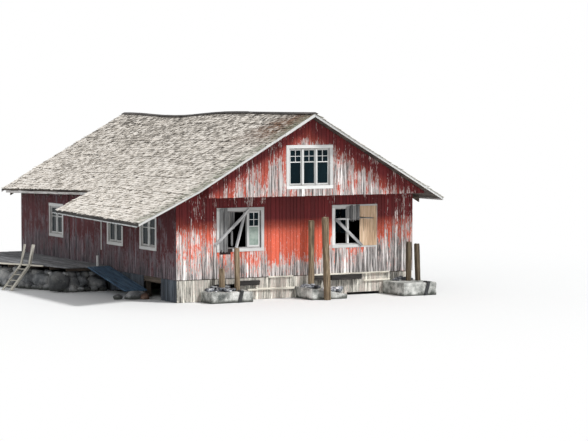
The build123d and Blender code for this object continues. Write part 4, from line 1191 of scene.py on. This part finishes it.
def block(heap, corners, wear=0.05):
    """A cast block with worn edges from four ground corners, each with its top's height."""
    p, faces = shape(bmesh.ops.create_cube, size=2, cuts=14)
    u, v, w = ((p + 1) / 2).T
    share = [(1 - u) * (1 - v), u * (1 - v), u * v, (1 - u) * v]
    q = sum(s[:, None] * np.array(corner) for s, corner in zip(share, corners))
    q[:, 2] *= w
    near_edge = np.sort(1 - np.abs(p), 1)[:, 1]
    inward = q.mean(0) - q
    inward[:, 2] *= 0.6
    inward /= np.linalg.norm(inward, axis=1, keepdims=True)
    worn, rough = np.exp(-near_edge / 0.10) * wear, 0.012
    for scale in (3.0, 7.0, 15.0):
        swell = ripple(heap.rng, q, scale, 4)
        worn = worn + rough * swell * 3 / scale + np.exp(-near_edge / 0.12) * wear * 0.5 * swell * 3 / scale
    q = q + inward * np.maximum(worn, -rough)[:, None]
    q[p[:, 2] < -0.99, 2] = 0.0
    q[:, 1] = np.minimum(q[:, 1], -0.001)
    q = q + np.array([x_left, y_front, 0])
    heap.add(q, faces, q, EVEN)


def rubble(heap, count, x, y, z, size):
    """Some stones strewn over a stretch of x, y and z."""
    rng = heap.rng
    for _ in range(count):
        s = rng.uniform(*size)
        spot = at(rng.uniform(*x), rng.uniform(*y), 0)
        radii = np.array([s, s * rng.uniform(0.6, 0.9), s * rng.uniform(0.4, 0.7)])
        spot[2] = rng.uniform(*z) + radii[2] * 0.6
        boulder(heap, spot, radii, 2, 0.3, 10, 0.04, mark=1)


near = -0.002  # the piers end this far in front of the wall
# corners of each block with the heights there, then its stones: how many, where in x, y and z, and sizes
for seed, name, wear, corners, heaps in (
    (61, "left", 0.05, (
        (0.86, -0.90, left_top_z), (2.49, -0.86, left_top_z - 0.01), (2.50, near, left_top_z),
        (0.85, near, left_top_z),
    ), (
        (34, (1.0, 2.1), (-0.60, -0.12), (left_top_z - 0.03, left_top_z + 0.04), (0.06, 0.15)),
        (12, (1.2, 1.9), (-0.32, -0.10), (left_top_z + 0.05, left_top_z + 0.12), (0.06, 0.12)),
    )),
    (62, "middle", 0.05, (
        (4.50, -1.28, 0.39), (5.94, -1.22, 0.15), (5.95, near, 0.16), (4.48, near, 0.40),
    ), (
        (18, (4.58, 5.0), (-0.9, -0.18), (0.32, 0.40), (0.07, 0.16)),
        (16, (5.3, 6.0), (-0.72, -0.16), (0.12, 0.25), (0.09, 0.22)),
    )),
    (63, "right", 0.04, (
        (7.99, -1.48, right_top_z), (9.34, -1.50, right_top_z + 0.005), (9.35, near, right_top_z),
        (7.98, near, right_top_z),
    ), (
        (20, (8.35, 9.1), (-0.36, -0.12), (right_top_z - 0.02, right_top_z + 0.06), (0.06, 0.13)),
    )),
):
    heap = Heap(seed)
    block(heap, corners, wear)
    for row in heaps:
        rubble(heap, *row)
    heap.build(f"{name}_pier_block", "concrete", "concrete rubble_rock", f"{name}_pier")

heap = Heap(64)
for x, y, top, lean in ((1.92, -0.89, left_top_z + 0.005, 0.10), (8.86, -1.50, right_top_z + 0.005, 0.12)):
    end = at(x + lean, y, top)
    plank(heap, at(x, y, 0.02), end, RIGHT, FRONT, 0.12, 0.035, chamfer=0.008, step=0.1, warp=0.004)
    start, end = at(x + lean, y - 0.03, top), at(x + lean + 0.03, y + 0.30, top)
    plank(heap, start, end, RIGHT, UP, 0.12, 0.03, chamfer=0.008)
heap.build("pier_straps", "post_timber", "rubber")

# Deck on its boulders. Its left edge reaches further out towards the back.

DECK_Y, DECK_REACH = (5.5, 7.0, 10.9), (1.7, 2.0, 3.6)
deck_low, deck_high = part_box("deck_boards")
deck_top = deck_high.z
heap = Heap(71)
cuts = np.linspace(0.006, 3.6, 26)
for x0, x1 in zip(cuts, cuts[1:]):
    a, b = np.interp((x0, x1), DECK_REACH, DECK_Y)
    y = a
    while y < depth - 0.02:
        stop = depth if depth - y < 5.2 else y + heap.rng.uniform(3.2, 4.6)
        size = stop - y - 0.006, x1 - x0 - 0.008, deck_top - deck_low.z - heap.rng.uniform(0, 0.004)
        board(
            heap, at(-x1 + 0.006, y + 0.003, deck_low.z), BACK, RIGHT, UP, *size,
            foot=(b - y, 0.0) if y == a else (0, 0), step=0.8, warp=0.002, chamfer=0.005,
        )
        y = stop
rim = [at(x, y, deck_top - 0.06) for x, y in ((-2.02, 7.0), (-3.612, 10.9), (-3.612, depth))]
for start, end in zip(rim, rim[1:]):
    along, run = line(start, end)
    out = np.array([-along[1], along[0], 0])
    board(heap, start, along, UP, out, run, 0.055, 0.03, step=0.8, mark=1, tone=0.9)
heap.build("deck_planks", "deck_planks", "deck_wood pale_wood", "deck_boards")

# Three rows of boulders along the bank's edge: their height, how far in, their sizes and how tall
heap = Heap(72)
bank_x, bank_y = -0.02, 5.56
edge = [(bank_x, bank_y), (-1.70, bank_y), (-2.06, 7.0), (-3.66, 10.9), (-3.66, depth), (bank_x, depth)]
for z, inset, small, large, tall in (
    (0.34, 0.16, 0.40, 0.50, 0.72), (0.09, 0.02, 0.14, 0.24, 0.8), (0.60, 0.28, 0.16, 0.24, 0.7),
):
    for a, b in zip(np.array(edge), np.array(edge[1:])):
        run = math.hypot(*(b - a))
        inward = np.array([b[1] - a[1], a[0] - b[0]]) / run
        spot = 0.12
        while spot < run - 0.1:
            s = heap.rng.uniform(small, large)
            deep = inset + s * 0.45 + heap.rng.uniform(0.0, 0.10)
            x, y = a + (b - a) * ((spot + s * 0.5) / run) + inward * deep
            x, y = min(x, bank_x - s * 0.9), np.clip(y, bank_y + s * 0.8, depth - s * 0.75)
            high = min(s * tall * heap.rng.uniform(0.8, 1.1), 0.36)
            centre = at(x, y, z + heap.rng.uniform(-0.03, 0.03))
            boulder(heap, centre, (s, s * 0.8, high), boxy=0.1, cuts=12)
            spot += s * heap.rng.uniform(1.45, 1.75)
heap.build("bank_boulders", "stone", "rock", "stone_bank", rounded=True)

# the near-black core is painted shade in the gaps between the boulders
heap = Heap(73)
end = depth - 0.4
core = [(bank_x, 5.95), (-1.35, 5.95), (-1.65, 7.15), (-3.25, 11.05), (-3.25, end), (bank_x, end)]
section = np.array([[at(x, y, z) for x, y in core] for z in (0.0, 0.60)])
skin(heap, section, section, EVEN)
heap.build("bank_core", "stone", "core_rock")

# Ladder, its rails bent at the deck's edge
heap = Heap(77)
ladder_y = 7.85
head = at(-float(np.interp(ladder_y, DECK_Y, DECK_REACH)), ladder_y, 0)
ladder_out, ladder_side = np.array([-0.925, -0.38, 0]), np.array([-0.38, 0.925, 0])


def ladder_point(out, z, side):
    return head + ladder_out * out + UP * z + ladder_side * side


for side, thick in ((0.2225, 0.065), (-0.2225, 0.09)):
    for low, high in (((0.955, 0.0), (0.045, 0.87)), ((0.045, 0.855), (-0.155, 1.6))):
        start, end = ladder_point(*low, side), ladder_point(*high, side)
        face = np.cross(ladder_side, line(start, end)[0])
        back = face * thick / 2
        plank(heap, start - back, end - back, ladder_side, face, thick, thick, chamfer=0.008)
for share in (0.16, 0.38, 0.60, 0.82):
    start, end = (ladder_point(0.955 - 0.91 * share, 0.87 * share, side) for side in (-0.2, 0.2))
    plank(heap, start, end, ladder_out, UP, 0.05, 0.03, tone=0.2)
heap.build("ladder_rails", "deck_planks", "pale_wood", "ladder")

# Gangway and its stones
heap = Heap(74)
low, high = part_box("gangway")
start, end = np.array([low.x, low.y, 0.3]), np.array([low.x, high.y, deck_top])
along, run = line(start, end)
normal = np.array([0, -along[2], along[1]])
count = 4
wide = (high.x - low.x) / count
for n in range(count):
    corner = start + RIGHT * (wide * n + 0.003) - normal * 0.042
    size = run, wide - 0.006, 0.042
    board(heap, corner, along, RIGHT, normal, *size, foot=(0.02, 0.02), step=0.5, warp=0.002)
for share in (0.12, 0.5, 0.88):
    corner = start + (end - start) * share - normal * 0.06
    board(heap, corner, RIGHT, along, normal, high.x - low.x, 0.09, 0.017)
heap.build("gangway_planks", "deck_planks", "gangway_wood", "gangway")
heap = Heap(75)
low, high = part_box("gangway_stone")
x, y = (low.x + high.x) / 2, (low.y + high.y) / 2
size = (high.x - low.x) / 2, (high.y - low.y) / 2, high.z * 0.56
boulder(heap, (x, y, high.z * 0.42), size, boxy=0.7, cuts=4, lumps=0.03, turn=0.0)
boulder(heap, (x - 0.62, y + 0.15, 0.05), (0.22, 0.18, 0.12), boxy=0.2, cuts=8)
heap.build("gangway_boulder", "stone", "rock", "gangway_stone", rounded=True)
heap = Heap(78)
boulder(heap, at(-0.30, 1.98, 0.07), (0.24, 0.16, 0.17), boxy=0.3)
heap.build("brown_stone", "stone", "brown_rock", rounded=True)

# Footing of two courses of fieldstones under the back half
heap = Heap(76)
low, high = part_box("stone_footing")
corners = [(low.x + 0.15, low.y), (high.x, low.y), (high.x, high.y), (low.x, high.y), (low.x, low.y)]
corners = [np.array([*corner, 0]) for corner in corners]
for z0, z1 in ((0.0, 0.30), (0.29, 0.57)):
    for start, end, inward in zip(corners, corners[1:], (BACK, LEFT, FRONT, RIGHT)):
        along, run = line(start, end)
        angle = math.atan2(along[1], along[0])
        spot = 0.0
        while spot < run - 0.1:
            s = min(heap.rng.uniform(0.34, 0.68), run - spot)
            centre = start + along * (spot + s / 2) + inward * 0.15
            centre[2] = (z0 + z1) / 2
            size = s * 0.50, 0.155, (z1 - z0) * 0.53
            boulder(heap, centre, size, boxy=0.85, cuts=5, lumps=0.025, turn=angle)
            spot += s
heap.build("footing_stones", "stone", "rock", "stone_footing", rounded=True)

# Materials of the frame's own nodes that stay in view
for look, slot, names in (
    # the walls behind the boards are near-black: painted shade in the gaps
    ("shade_boards", "red_boards", "front_wall back_wall left_wall right_wall upper_front_wall"),
    ("inner_wood", "bare_timber", "left_rafters right_rafters canopy_rafters tie_beams floor_bearers"),
    ("inner_wood", "deck_planks", "deck_joists"),
    ("inner_wood_y", "bare_timber", "ridge_board loft_joists loft_floor floor_boards ground_sills"),
    ("inner_wood_z", "bare_timber", "piles"),
    ("white_fixed", "white_trim", "bollard wall_strip"),
    ("glass", "window_glass", "back_window_glass side_window_glass upper_window_glass"),
):
    for name in names.split():
        mesh = nodes[name].data
        mesh.materials.clear()
        mesh.materials.append(LOOKS[look])

# Floor, light and camera


def backdrop_share(s):
    """1 for the rays that show the backdrop: the camera's, and those in metal and glass."""
    rays = s.node("ShaderNodeLightPath").outputs
    share = rays["Is Camera Ray"]
    for name in ("Is Glossy Ray", "Is Transmission Ray"):
        share = s.calc("MAXIMUM", share, rays[name])
    return share


def floor_shader():
    """A pale floor that turns into the white backdrop far from the house."""
    s = Shader("pale_floor", 1.0, {"Base Color": (0.80, 0.80, 0.79)})
    glow = s.node("ShaderNodeEmission", {"Color": (1.0, 1.0, 1.0), "Strength": 1.0}).outputs[0]
    x, y, _ = s.split(s.place())
    away = s.calc("SQRT", s.calc("ADD", s.calc("MULTIPLY", x, x), s.calc("MULTIPLY", y, y)))
    share = s.calc("MULTIPLY", s.step(away, 10.0, 26.0), backdrop_share(s))
    blend = s.node("ShaderNodeMixShader", {0: share, 1: s.shader.outputs[0], 2: glow})
    s.put(s.output.inputs[0], blend.outputs[0])
    return s.material


mesh = bpy.data.meshes.new("floor")
reach = 400.0
mesh.from_pydata([(x * reach, y * reach, 0) for x, y in ((-1, -1), (1, -1), (1, 1), (-1, 1))], [], [range(4)])
mesh.materials.append(floor_shader())
floor = bpy.data.objects.new("floor", mesh)
floor.location.z = -0.004
bpy.context.scene.collection.objects.link(floor)

world = bpy.data.worlds.new("studio")
bpy.context.scene.world = world
world.use_nodes = True
sky = Nodes(world.node_tree)
soft = sky.node("ShaderNodeBackground", {0: (0.95, 0.97, 1.0), 1: 0.52}).outputs[0]
white = sky.node("ShaderNodeBackground", {0: (1.0, 1.0, 1.0)}).outputs[0]
blend = sky.node("ShaderNodeMixShader", {0: backdrop_share(sky), 1: soft, 2: white}).outputs[0]
sky.node("ShaderNodeOutputWorld", {0: blend})


def stand(thing, side, up, back, spot=(0, 0, 0)):
    """Put an object into the scene, turned this way."""
    thing.matrix_world = Matrix([[side[i], up[i], back[i], spot[i]] for i in range(3)] + [[0, 0, 0, 1]])
    bpy.context.scene.collection.objects.link(thing)


def lamp(name, direction, strength, angle):
    """A broad far lamp that shines along a direction."""
    data = bpy.data.lights.new(name, "SUN")
    data.energy = strength
    data.angle = math.radians(angle)
    back = -np.array(direction, float) / np.linalg.norm(direction)
    side = np.cross(UP, back)
    side /= np.linalg.norm(side)
    stand(bpy.data.objects.new(name, data), side, np.cross(back, side), back)


lamp("key", (-0.8, 1.05, -1.55), 2.75, 7)
lamp("fill", (1.0, 0.9, -0.7), 0.25, 40)

camera_data = bpy.data.cameras.new("camera")
camera_data.sensor_width = 36
camera_data.lens = 137.78
camera_data.clip_end = 1000
camera = bpy.data.objects.new("camera", camera_data)
stand(
    camera, (0.88419038, -0.46712326, -0.00179664), (0.02729856, 0.04783151, 0.99848232),
    (-0.46632837, -0.88289751, 0.05504396), (-34.7508, -75.2249, 6.9342),
)
bpy.context.scene.camera = camera
bpy.context.scene.view_settings.view_transform = "Standard"
